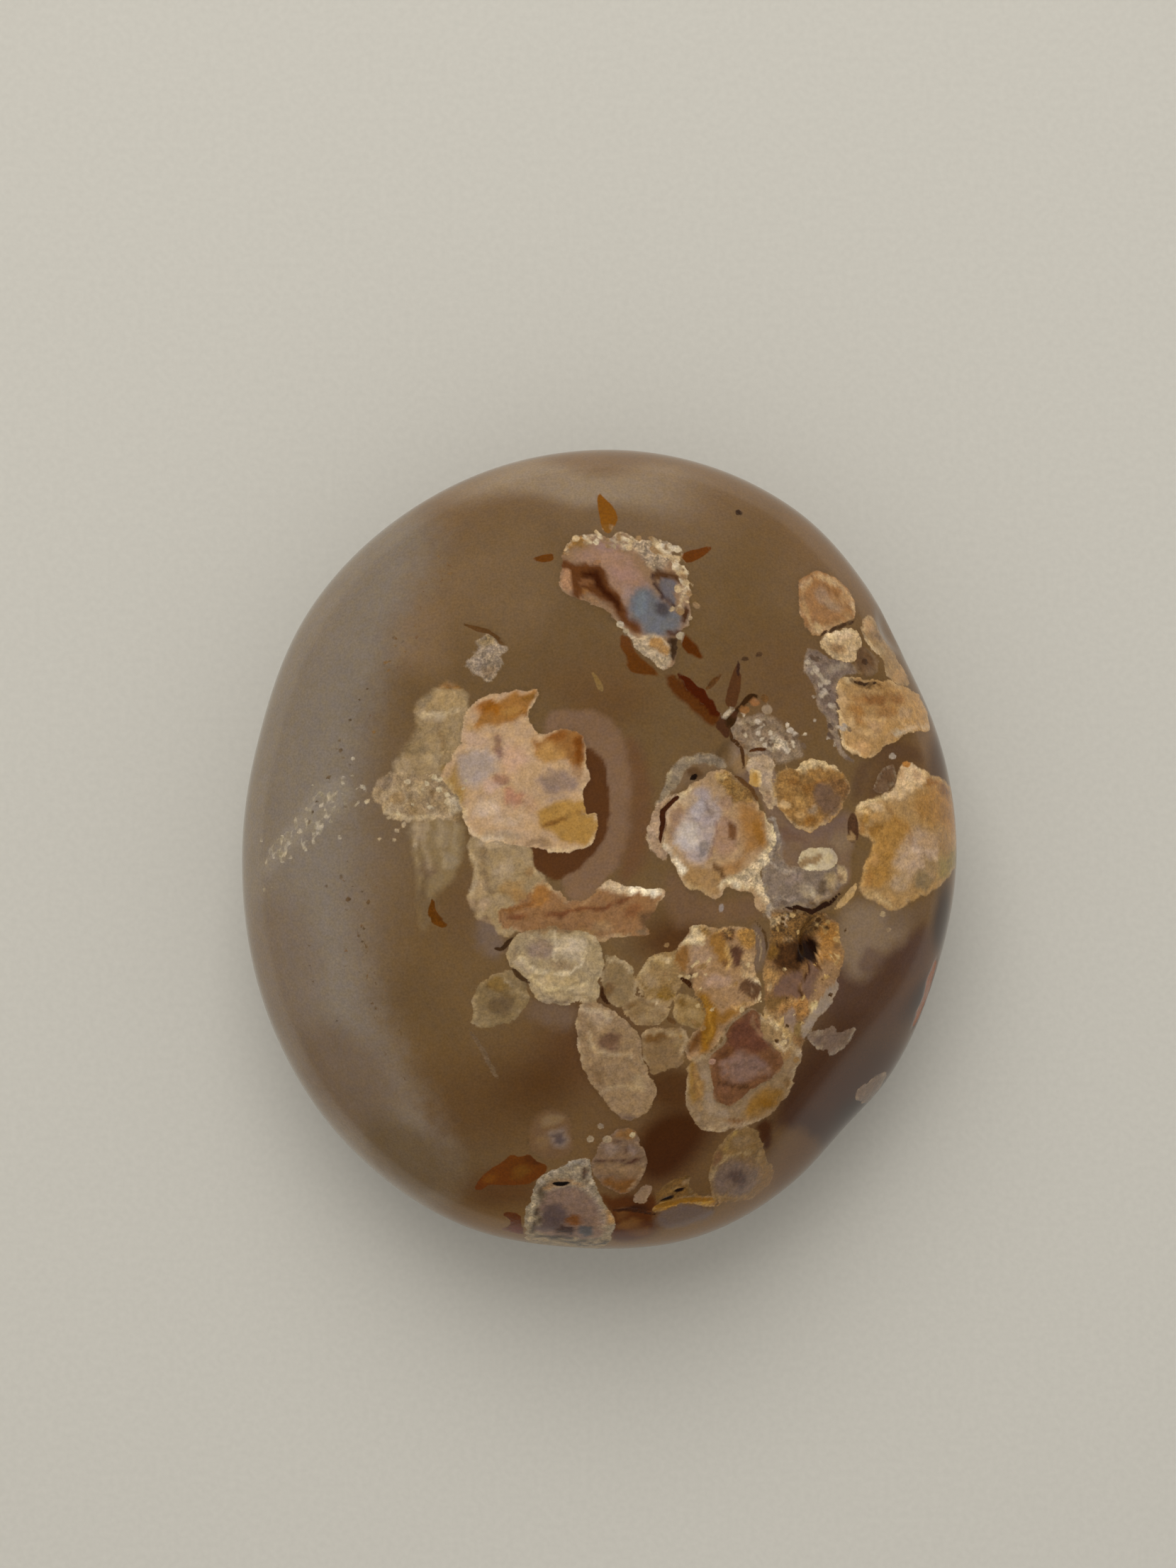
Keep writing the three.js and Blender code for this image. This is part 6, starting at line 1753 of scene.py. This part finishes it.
@dataclass(frozen=True)
class PolishedChalcedony:
    """Flower agate, tumbled to a wet gloss, so its colours look deep and edges in it look crisp.

    Attributes:
        ior: Chalcedony's refractive index.
        gloss: The polished face's roughness.
        open_rough: How much rougher a face of open grains is.
        edge_wander: How far a flower's edge wanders between the mesh's points, in millimetres.
        cloud: The width of the clouds in the matrix.
        mottle: The width of the patches inside a flower.
        grain: The width of the finest grains, drawn coarser than the real 0.05 mm so that they show.
        crumble: The width of the lumps in a grainy crust.
        granule: The width of the quartz granules in a druse.
        ring: The distance between two growth lines.
        stain: The width of the yellower and paler patches.
        vein: The distance between the dark hairlines in a flower.
        matrix_depth: How much the clouds lighten and darken the matrix.
        mottle_depth: How much the patches lighten and darken a flower.
        vein_depth: How much a hairline darkens it.
        ring_depth: How much a growth line does.
        crumble_depth: How much an open crust's lumps vary: own tone, painted light and painted shade.
        granule_depth: How much quartz granules differ in brightness in an open druse, as painted glints.
        grain_depth: How much the finest grains differ.
        open_grain_depth: How much more they do in an open druse.
        yellower: What the yellower patches multiply red, green and blue by.
        bluer: What the other patches multiply them by.
        bump: How deep the lumps of an open crust look, in millimetres.
        fine_wander: How much of the wander a chip's and a crack's edge has.
        shadow_width: The width of the shade round an upper flower, in millimetres.
        shadow: How much that shade darkens what is next to it.
    """

    ior: float = 1.54
    gloss: float = 0.11
    open_rough: float = 0.4
    edge_wander: float = 0.45
    cloud: float = 2.4
    mottle: float = 0.6
    grain: float = 0.16
    crumble: float = 0.5
    granule: float = 0.3
    ring: float = 0.42
    stain: float = 0.65
    vein: float = 1.3
    matrix_depth: float = 0.05
    mottle_depth: float = 0.14
    vein_depth: float = 0.16
    ring_depth: float = 0.08
    crumble_depth: float = 0.85
    granule_depth: float = 0.35
    grain_depth: float = 0.5
    open_grain_depth: float = 0.9
    yellower: tuple[float, float, float] = (1.03, 1.0, 0.93)
    bluer: tuple[float, float, float] = (0.98, 0.985, 1.06)
    bump: float = 0.1
    fine_wander: float = 0.3
    shadow_width: float = 0.4
    shadow: float = 0.12

    def material(self) -> bpy.types.Material:
        """Build the material, which reads the markings from the mesh.

        Returns:
            The material.
        """
        material, tree = new_material("polished_flower_agate")
        coords = add_node(tree, "ShaderNodeTexCoord")
        mm = add_node(tree, "ShaderNodeVectorMath", {0: coords.outputs["Object"], "Scale": 1 / MM},
                      operation="SCALE")
        crumble = add_node(tree, "ShaderNodeTexNoise", {"Vector": mm, "Scale": 1 / self.crumble,
                                                       "Detail": 4.0, "Roughness": 0.68,
                                                       "Distortion": 0.5})
        lump = add_node(tree, "ShaderNodeMapRange", {0: crumble, 1: 0.38, 2: 0.62, 3: 0.0, 4: 1.0},
                        interpolation_type="SMOOTHSTEP")
        colour, nature = self.markings(tree, crumble)
        parts = add_node(tree, "ShaderNodeSeparateXYZ", {0: nature})
        edge, grit, rings = (parts.outputs[axis] for axis in "XYZ")
        shade, *others = self.growth(tree, mm, edge, rings) + self.grains(tree, mm, lump, grit)
        for part in others:
            shade = add_node(tree, "ShaderNodeMath", {0: shade, 1: part}, operation="MULTIPLY")
        colour = self.stained(tree, mm, colour)
        colour = add_node(tree, "ShaderNodeVectorMath", {0: colour, "Scale": shade}, operation="SCALE")

        rough = add_node(tree, "ShaderNodeMath", {0: grit, 1: self.open_rough, 2: self.gloss},
                         operation="MULTIPLY_ADD")
        relief = add_node(tree, "ShaderNodeMath", {0: lump, 1: grit}, operation="MULTIPLY")
        bump = add_node(tree, "ShaderNodeBump", {"Strength": 0.5, "Distance": self.bump * MM,
                                                "Height": relief})
        shader = add_node(tree, "ShaderNodeBsdfPrincipled", {
            "Base Color": colour, "Roughness": rough, "IOR": self.ior, "Normal": bump,
        })
        add_node(tree, "ShaderNodeOutputMaterial", {"Surface": shader})
        return material

    def markings(
        self, tree: bpy.types.NodeTree, crumble: bpy.types.Node,
    ) -> tuple[bpy.types.Node, bpy.types.Node]:
        """Lay the markings over the matrix, from the deepest to the nearest.

        Args:
            tree: The material's node tree.
            crumble: The noise that edges wander by.

        Returns:
            The colour, and the edge distance, grit and rings.
        """
        wobble = add_node(tree, "ShaderNodeMath", {0: crumble, 1: self.edge_wander,
                                                   2: -0.5 * self.edge_wander}, operation="MULTIPLY_ADD")
        base = add_node(tree, "ShaderNodeAttribute", attribute_name="matrix_tint")
        veil = add_node(tree, "ShaderNodeAttribute", attribute_name="veil_tint")
        colour = add_node(tree, "ShaderNodeMix", {0: veil.outputs["Alpha"], 6: base.outputs["Color"],
                                                  7: veil.outputs["Color"]}, data_type="RGBA")
        nature = add_node(tree, "ShaderNodeCombineXYZ")
        for tier in CRISP_TIERS:
            colour, nature = self.cover(tree, tier, wobble, colour, nature)
        return colour, nature

    def stained(
        self, tree: bpy.types.NodeTree, mm: bpy.types.Node, colour: bpy.types.Node,
    ) -> bpy.types.Node:
        """Make the colour a little yellower in some patches and bluer in others.

        Args:
            tree: The material's node tree.
            mm: The place in millimetres.
            colour: The colour so far.

        Returns:
            The colour.
        """
        hue = add_node(tree, "ShaderNodeTexNoise", {"Vector": mm, "Scale": 1 / self.stain, "Detail": 2.0})
        hue = add_node(tree, "ShaderNodeMapRange", {0: hue, 1: 0.35, 2: 0.65, 3: 0.0, 4: 1.0})
        hue = add_node(tree, "ShaderNodeMix", {0: hue, 4: self.yellower, 5: self.bluer}, data_type="VECTOR")
        return add_node(tree, "ShaderNodeVectorMath", {0: colour, 1: hue}, operation="MULTIPLY")

    def growth(
        self, tree: bpy.types.NodeTree, mm: bpy.types.Node, edge: bpy.types.NodeSocket,
        rings: bpy.types.NodeSocket,
    ) -> list[bpy.types.Node]:
        """Shade the matrix's clouds, and a flower's patches, hairlines and growth lines.

        Args:
            tree: The material's node tree.
            mm: The place in millimetres.
            edge: How far inside a marking the place lies.
            rings: How strongly growth lines show.

        Returns:
            The shades that the colour is multiplied by.
        """
        cloud = add_node(tree, "ShaderNodeTexNoise", {"Vector": mm, "Scale": 1 / self.cloud, "Detail": 4.0})
        clouds = add_node(tree, "ShaderNodeMapRange", {
            0: cloud, 1: 0.25, 2: 0.75, 3: 1 - self.matrix_depth, 4: 1 + self.matrix_depth,
        })

        vein = add_node(tree, "ShaderNodeTexNoise", {"Vector": mm, "Scale": 1 / self.vein, "Detail": 2.5,
                                                    "Distortion": 1.4})
        vein = add_node(tree, "ShaderNodeMath", {0: vein, 1: 0.5}, operation="SUBTRACT")
        vein = add_node(tree, "ShaderNodeMath", {0: vein}, operation="ABSOLUTE")
        vein = add_node(tree, "ShaderNodeMapRange", {0: vein, 1: 0.0, 2: 0.035, 3: -self.vein_depth, 4: 0.0})

        mottle = add_node(tree, "ShaderNodeTexNoise", {"Vector": mm, "Scale": 1 / self.mottle,
                                                      "Detail": 3.0})
        patches = add_node(tree, "ShaderNodeMapRange", {
            0: mottle, 1: 0.3, 2: 0.7, 3: -self.mottle_depth, 4: self.mottle_depth,
        })
        patches = add_node(tree, "ShaderNodeMath", {0: patches, 1: vein}, operation="ADD")
        inside = add_node(tree, "ShaderNodeMath", {0: rings, 1: 2.5, 2: 0.12}, operation="MULTIPLY_ADD",
                          use_clamp=True)
        patches = add_node(tree, "ShaderNodeMath", {0: patches, 1: inside, 2: 1.0},
                           operation="MULTIPLY_ADD")

        wave = add_node(tree, "ShaderNodeMath", {0: mottle, 1: self.ring, 2: edge}, operation="MULTIPLY_ADD")
        wave = add_node(tree, "ShaderNodeMath", {0: wave, 1: 2 * math.pi / self.ring}, operation="MULTIPLY")
        wave = add_node(tree, "ShaderNodeMath", {0: wave}, operation="SINE")
        ringing = add_node(tree, "ShaderNodeMath", {0: rings, 1: self.ring_depth}, operation="MULTIPLY")
        ringing = add_node(tree, "ShaderNodeMath", {0: wave, 1: ringing, 2: 1.0}, operation="MULTIPLY_ADD")
        return [clouds, patches, ringing]

    def grains(
        self, tree: bpy.types.NodeTree, mm: bpy.types.Node, lump: bpy.types.Node,
        grit: bpy.types.NodeSocket,
    ) -> list[bpy.types.Node]:
        """Shade an open crust's lumps, its quartz granules and the finest grains.

        The lumps get their own tone with painted light and painted shade, and the granules painted glints.

        Args:
            tree: The material's node tree.
            mm: The place in millimetres.
            lump: The lumps, from 0 to 1.
            grit: How grainy the place is.

        Returns:
            The shades that the colour is multiplied by.
        """
        # Painted light and shade on a crust's lumps, over their own tone.
        lumps = add_node(tree, "ShaderNodeMath", {0: lump, 1: -0.5}, operation="ADD")
        # Painted glints: each quartz granule comes out brighter or darker.
        cells = add_node(tree, "ShaderNodeTexVoronoi", {"Vector": mm, "Scale": 1 / self.granule},
                         feature="F1")
        pick = add_node(tree, "ShaderNodeSeparateColor", {0: cells.outputs["Color"]})
        sparkle = add_node(tree, "ShaderNodeMath", {0: pick.outputs[0], 1: 0.5}, operation="SUBTRACT")
        shades = []
        for part, depth in ((lumps, self.crumble_depth), (sparkle, self.granule_depth)):
            part = add_node(tree, "ShaderNodeMath", {0: part, 1: grit}, operation="MULTIPLY")
            part = add_node(tree, "ShaderNodeMath", {0: part, 1: depth, 2: 1.0}, operation="MULTIPLY_ADD")
            shades.append(part)

        grain = add_node(tree, "ShaderNodeTexNoise", {"Vector": mm, "Scale": 1 / self.grain, "Detail": 1.0})
        speckle = add_node(tree, "ShaderNodeMath", {0: grain, 1: 0.5}, operation="SUBTRACT")
        depth = add_node(tree, "ShaderNodeMath", {0: grit, 1: self.open_grain_depth, 2: self.grain_depth},
                         operation="MULTIPLY_ADD")
        speckle = add_node(tree, "ShaderNodeMath", {0: speckle, 1: depth, 2: 1.0}, operation="MULTIPLY_ADD")
        return [*shades, speckle]

    def cover(
        self, tree: bpy.types.NodeTree, tier: Tier, wobble: bpy.types.Node, colour: bpy.types.Node,
        nature: bpy.types.Node,
    ) -> tuple[bpy.types.Node, bpy.types.Node]:
        """Lay one crisp tier over the colour so far.

        Args:
            tree: The material's node tree.
            tier: The tier.
            wobble: How far edges wander here, in millimetres.
            colour: The colour under it.
            nature: The edge distance, grit and rings under it.

        Returns:
            The colour, and the edge distance, grit and rings, with the tier on top.
        """
        tint = add_node(tree, "ShaderNodeAttribute", attribute_name=f"{tier.value}_tint")
        data = add_node(tree, "ShaderNodeAttribute", attribute_name=f"{tier.value}_data")
        edge = add_node(tree, "ShaderNodeSeparateXYZ", {0: data.outputs["Vector"]})
        reach = 1.0 if tier in (Tier.LOWER, Tier.UPPER) else self.fine_wander
        edge = add_node(tree, "ShaderNodeMath", {0: wobble, 1: reach, 2: edge.outputs["X"]},
                        operation="MULTIPLY_ADD")
        outer = add_node(tree, "ShaderNodeMath", {0: tint.outputs["Alpha"], 1: -1.0}, operation="MULTIPLY")
        cover = add_node(tree, "ShaderNodeMapRange", {0: edge, 1: outer, 2: tint.outputs["Alpha"],
                                                      3: 0.0, 4: 1.0}, interpolation_type="SMOOTHSTEP")
        if tier is Tier.UPPER:
            shadow = add_node(tree, "ShaderNodeMapRange", {0: edge, 1: -self.shadow_width, 2: 0.0,
                                                           3: 1.0, 4: 1 - self.shadow})
            colour = add_node(tree, "ShaderNodeVectorMath", {0: colour, "Scale": shadow}, operation="SCALE")
        colour = add_node(tree, "ShaderNodeMix", {0: cover, 6: colour, 7: tint.outputs["Color"]},
                          data_type="RGBA")
        nature = add_node(tree, "ShaderNodeMix", {0: cover, 4: nature, 5: data.outputs["Vector"]},
                          data_type="VECTOR")
        return colour, nature


@dataclass
class PalmStone:
    """The whole stone: one closed mesh with its markings.

    Attributes:
        form: Its closed form.
        squares: How many squares lie along each edge of the cube that the mesh starts from.
        gather: Under 1 draws the mesh's points towards the top, where the markings are finest.
        crack_depth: How deep the polish left a crack, in millimetres.
        grit_depth: How deep open grains lie under the polish, in millimetres.
    """

    form: StoneForm = StoneForm()
    squares: int = 126
    gather: float = 0.55
    crack_depth: float = 0.09
    grit_depth: float = 0.08

    def cube(self) -> tuple[np.ndarray, np.ndarray]:
        """Make the starting cube's points and squares, facing out.

        Returns:
            The points from -1 to 1, and four point indices for each square.
        """
        steps = np.linspace(-1, 1, self.squares + 1)
        u, v = (side.ravel() for side in np.meshgrid(steps, steps, indexing="ij"))
        ones = np.ones_like(u)
        sides = []
        for axis in range(3):
            for sign in (-1, 1):
                columns = [ones, u, v] if sign > 0 else [-ones, v, u]
                sides.append(np.stack([columns[(k - axis) % 3] for k in range(3)], axis=1))
        points, index = np.unique(np.round(np.concatenate(sides), 9), axis=0, return_inverse=True)
        row = self.squares + 1
        corner = (np.arange(self.squares)[:, None] * row + np.arange(self.squares)).ravel()
        square = np.stack((corner, corner + row, corner + row + 1, corner + 1), axis=1)
        squares = np.concatenate([square + side * row * row for side in range(6)])
        return points, index.ravel()[squares]

    def directions(self, cube: np.ndarray) -> np.ndarray:
        """Turn the cube's points into directions out of the stone's middle.

        Args:
            cube: The points.

        Returns:
            Unit vectors, one row each.
        """
        ball = np.tan(cube * math.pi / 4)
        ball /= np.linalg.norm(ball, axis=1)[:, None]
        polar = 2 * np.arctan(self.gather * np.tan(np.arccos(np.clip(ball[:, 2], -1, 1)) / 2))
        level = np.hypot(ball[:, 0], ball[:, 1])
        spread = self.form.outline[0][1] * np.sin(polar) / np.where(level > 1e-9, level, 1)
        aim = np.stack((ball[:, 0] * spread, ball[:, 1] * spread, self.form.crown * np.cos(polar)), axis=1)
        return aim / np.linalg.norm(aim, axis=1)[:, None]

    def build(self) -> bpy.types.Object:
        """Build the mesh, paint it and dress it.

        Returns:
            The stone.
        """
        cube, squares = self.cube()
        surface = self.form.surface(self.directions(cube))
        height = surface[:, 2] + self.form.rim_height
        drop = self.form.top_height(surface[:, 0], surface[:, 1]) - height
        low, high = (np.array(corner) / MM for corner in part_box(NODE))
        own_low, own_high = surface.min(axis=0), surface.max(axis=0)
        placed = (surface - own_low) * (high - low) / (own_high - own_low) + low
        canvas = self.painted(placed, drop)

        mesh = bpy.data.meshes.new("palm_stone_polished")
        mesh.from_pydata(placed * MM, [], squares)
        mesh.update()
        normals = np.zeros(len(placed) * 3)
        mesh.vertex_normals.foreach_get("vector", normals)
        sunk = self.relief(canvas)
        placed = placed - normals.reshape(-1, 3) * sunk[:, None]
        mesh.vertices.foreach_set("co", (placed * MM).ravel())
        mesh.shade_smooth()
        self.store(mesh, canvas)
        mesh.update()
        mesh.materials.append(PolishedChalcedony().material())
        stone = bpy.data.objects.new("palm_stone_polished", mesh)
        bpy.context.collection.objects.link(stone)
        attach(stone, "root")
        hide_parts("palm_stone")
        return stone

    def painted(self, placed: np.ndarray, drop: np.ndarray) -> Canvas:
        """Paint all the markings, from the deepest to the nearest.

        Args:
            placed: The surface's points in the stone's frame.
            drop: How far each lies under the smooth top.

        Returns:
            The painted surface.
        """
        canvas = Canvas(placed, drop)
        canvas.paint_matrix(MATRIX_TONE_AND_PAINTED_LIGHT)
        for veil in VEILS:
            canvas.paint(veil)
        HiddenFlowers().paint(canvas)
        for plume in FLOWERS + AMBER_CHIPS:
            canvas.paint(plume)
        for crumb in CRUMBS:
            canvas.drop_crumb(crumb)
        for x, y in SPECK_PLACES:
            canvas.drop_crumb(replace(SPECK, x=x, y=y))
        for dusting in DUSTINGS:
            dusting.strew(canvas)
        for crack in CRACKS:
            canvas.draw_crack(crack)
        return canvas

    def relief(self, canvas: Canvas) -> np.ndarray:
        """Find how far the polish failed to reach.

        Args:
            canvas: The painted surface.

        Returns:
            The depth at each point in millimetres.
        """
        cracks = canvas.layers[Tier.CRACK]
        depth = self.crack_depth * smooth(-0.1, 0.15, cracks.edge)
        lumps = 0.5 + 0.5 * lattice_noise(canvas.points, 0.42, 41)
        for tier in (Tier.LOWER, Tier.UPPER):
            layer = canvas.layers[tier]
            open_grain = np.clip(layer.grit - 0.35, 0, 1) * smooth(-0.1, 0.4, layer.edge)
            depth = np.maximum(depth, self.grit_depth * open_grain * (0.4 + lumps))
        return depth * smooth(16, 12, canvas.drop)

    @staticmethod
    def store(mesh: bpy.types.Mesh, canvas: Canvas) -> None:
        """Write the markings to the mesh for the material to read.

        Args:
            mesh: The stone's mesh.
            canvas: The painted surface.
        """
        plain = np.column_stack((canvas.matrix, np.ones(len(canvas.matrix))))
        tints = {"matrix_tint": plain, "veil_tint": canvas.veil}
        for tier, layer in canvas.layers.items():
            tints[f"{tier.value}_tint"] = layer.tint
            data = mesh.attributes.new(f"{tier.value}_data", "FLOAT_VECTOR", "POINT")
            data.data.foreach_set("vector", np.stack((layer.edge, layer.grit, layer.rings), axis=1).ravel())
        for name, tint in tints.items():
            colour = mesh.attributes.new(name, "FLOAT_COLOR", "POINT")
            colour.data.foreach_set("color", tint.ravel())


@dataclass(frozen=True)
class Table:
    """A pale matt board under the stone, with a faint tooth, that dims away from the light.

    Attributes:
        size: The board's edge in metres.
        paint: Its colour.
        tooth: The width of the tooth's bumps in millimetres.
        dims: How far from the middle the light starts to fall and has fallen, in millimetres.
        far_light: How much light there is beyond that.
    """

    size: float = 2.4
    paint: str = "#ccc8bd"
    tooth: float = 0.5
    dims: tuple[float, float] = (80.0, 150.0)
    far_light: float = 0.35

    def build(self) -> bpy.types.Object:
        """Build the board with its top at height 0.

        Returns:
            The board.
        """
        half = self.size / 2
        mesh = bpy.data.meshes.new("table_top")
        mesh.from_pydata([(-half, -half, 0), (half, -half, 0), (half, half, 0), (-half, half, 0)], [],
                         [(0, 1, 2, 3)])
        mesh.materials.append(self.material())
        table = bpy.data.objects.new("table_top", mesh)
        bpy.context.collection.objects.link(table)
        return table

    def material(self) -> bpy.types.Material:
        """Build matt painted board, which spreads light evenly; painted light fades away from its middle.

        Returns:
            The material.
        """
        material, tree = new_material("matt_painted_board")
        coords = add_node(tree, "ShaderNodeTexCoord")
        mm = add_node(tree, "ShaderNodeVectorMath", {0: coords.outputs["Object"], "Scale": 1 / MM},
                      operation="SCALE")
        tooth = add_node(tree, "ShaderNodeTexNoise", {"Vector": mm, "Scale": 1 / self.tooth, "Detail": 2.0})
        shade = add_node(tree, "ShaderNodeMapRange", {0: tooth, 1: 0.3, 2: 0.7, 3: 0.975, 4: 1.025})
        # Painted light: the board is painted darker away from the middle, as if the light fell off.
        away = add_node(tree, "ShaderNodeVectorMath", {0: mm}, operation="LENGTH")
        dim = add_node(tree, "ShaderNodeMapRange", {0: away.outputs["Value"], 1: self.dims[0],
                                                    2: self.dims[1], 3: 1.0, 4: self.far_light},
                       interpolation_type="SMOOTHSTEP")
        shade = add_node(tree, "ShaderNodeMath", {0: shade, 1: dim}, operation="MULTIPLY")
        colour = add_node(tree, "ShaderNodeVectorMath", {0: rgba(self.paint)[:3], "Scale": shade},
                          operation="SCALE")
        bump = add_node(tree, "ShaderNodeBump", {"Strength": 0.2, "Distance": 0.05 * MM, "Height": tooth})
        shader = add_node(tree, "ShaderNodeBsdfPrincipled", {"Base Color": colour, "Roughness": 0.85,
                                                            "Normal": bump})
        add_node(tree, "ShaderNodeOutputMaterial", {"Surface": shader})
        return material


@dataclass(frozen=True)
class SoftRoomLight:
    """Plain soft studio light: bright walls left and behind, a dim ceiling, and one soft lamp behind.

    Attributes:
        room: The light that the room sheds from all around.
        ceiling: What the polish mirrors of the ceiling.
        wall: What it mirrors of the bright walls, over the ceiling's.
        dim_wall: What it mirrors of the walls on the other side, over the ceiling's.
        wall_top: How steeply up the bright walls end and are whole, as the sine of the angle.
        wall_way: Which way the bright walls lie.
        wall_span: How far round that way the walls grow bright, as a cosine.
        wall_tint: The colour of the room's light.
        lamp_power: The soft lamp's power in watts.
        lamp_place: Where the lamp stands in metres.
        lamp_size: The lamp's edge in metres.
    """

    room: float = 0.55
    ceiling: float = 0.02
    wall: float = 0.12
    dim_wall: float = 0.03
    wall_top: tuple[float, float] = (0.83, 0.5)
    wall_way: tuple[float, float, float] = (-0.62, 0.72, 0.0)
    wall_span: tuple[float, float] = (-0.9, 0.3)
    wall_tint: str = "#fffdfa"
    lamp_power: float = 2.6
    lamp_place: tuple[float, float, float] = (-0.07, 0.42, 0.52)
    lamp_size: float = 0.5

    def build(self) -> None:
        """Build the world's light and the lamp."""
        world = bpy.data.worlds.new("soft_room")
        world.use_nodes = True
        tree = world.node_tree
        tree.nodes.clear()
        coords = add_node(tree, "ShaderNodeTexCoord")
        aim = add_node(tree, "ShaderNodeVectorMath", {0: coords.outputs["Generated"]}, operation="NORMALIZE")
        height = add_node(tree, "ShaderNodeSeparateXYZ", {0: aim})
        low = add_node(tree, "ShaderNodeMapRange", {0: height.outputs["Z"], 1: self.wall_top[0],
                                                    2: self.wall_top[1], 3: 0.0, 4: 1.0},
                       interpolation_type="SMOOTHSTEP")
        side = add_node(tree, "ShaderNodeVectorMath", {0: aim, 1: self.wall_way}, operation="DOT_PRODUCT")
        wall = add_node(tree, "ShaderNodeMapRange", {0: side.outputs["Value"], 1: self.wall_span[0],
                                                     2: self.wall_span[1], 3: self.dim_wall,
                                                     4: self.wall}, interpolation_type="SMOOTHSTEP")
        light = add_node(tree, "ShaderNodeMath", {0: low, 1: wall, 2: self.ceiling},
                         operation="MULTIPLY_ADD")
        ray = add_node(tree, "ShaderNodeLightPath")
        light = add_node(tree, "ShaderNodeMix", {0: ray.outputs["Is Glossy Ray"], 2: self.room, 3: light},
                         data_type="FLOAT")
        back = add_node(tree, "ShaderNodeBackground", {"Color": rgba(self.wall_tint), "Strength": light})
        add_node(tree, "ShaderNodeOutputWorld", {"Surface": back})
        bpy.context.scene.world = world

        light = bpy.data.lights.new("soft_lamp", "AREA")
        light.energy = self.lamp_power
        light.size = self.lamp_size
        lamp = bpy.data.objects.new("soft_lamp", light)
        lamp.location = self.lamp_place
        lamp.rotation_euler = (-lamp.location).to_track_quat("-Z", "Y").to_euler()
        lamp.visible_glossy = False
        bpy.context.collection.objects.link(lamp)


@dataclass(frozen=True)
class OverheadCamera:
    """The photograph's camera, which looks straight down.

    Attributes:
        x: Its place in metres.
        y: Its place in metres.
        height: Its height over the table in metres.
        lens: Its focal length in millimetres for a 36 mm long side.
    """

    x: float = -0.00087
    y: float = 0.00504
    height: float = 0.190
    lens: float = 52.88

    def build(self) -> bpy.types.Object:
        """Build the camera and look through it.

        Returns:
            The camera.
        """
        camera_data = bpy.data.cameras.new("overhead_camera")
        camera_data.lens = self.lens
        camera_data.sensor_width = 36
        camera_data.clip_start = 0.01
        camera = bpy.data.objects.new("overhead_camera", camera_data)
        camera.location = (self.x, self.y, self.height)
        bpy.context.collection.objects.link(camera)
        bpy.context.scene.camera = camera
        return camera


def main() -> None:
    """Build the scene piece by piece."""
    logging.basicConfig(level=logging.INFO, format="%(name)s: %(message)s")
    OverheadCamera().build()
    Table().build()
    SoftRoomLight().build()
    bpy.context.scene.view_settings.view_transform = "Standard"
    stone = PalmStone().build()
    log.info("%s has %d points", stone.name, len(stone.data.vertices))


if __name__ == "__main__":
    main()
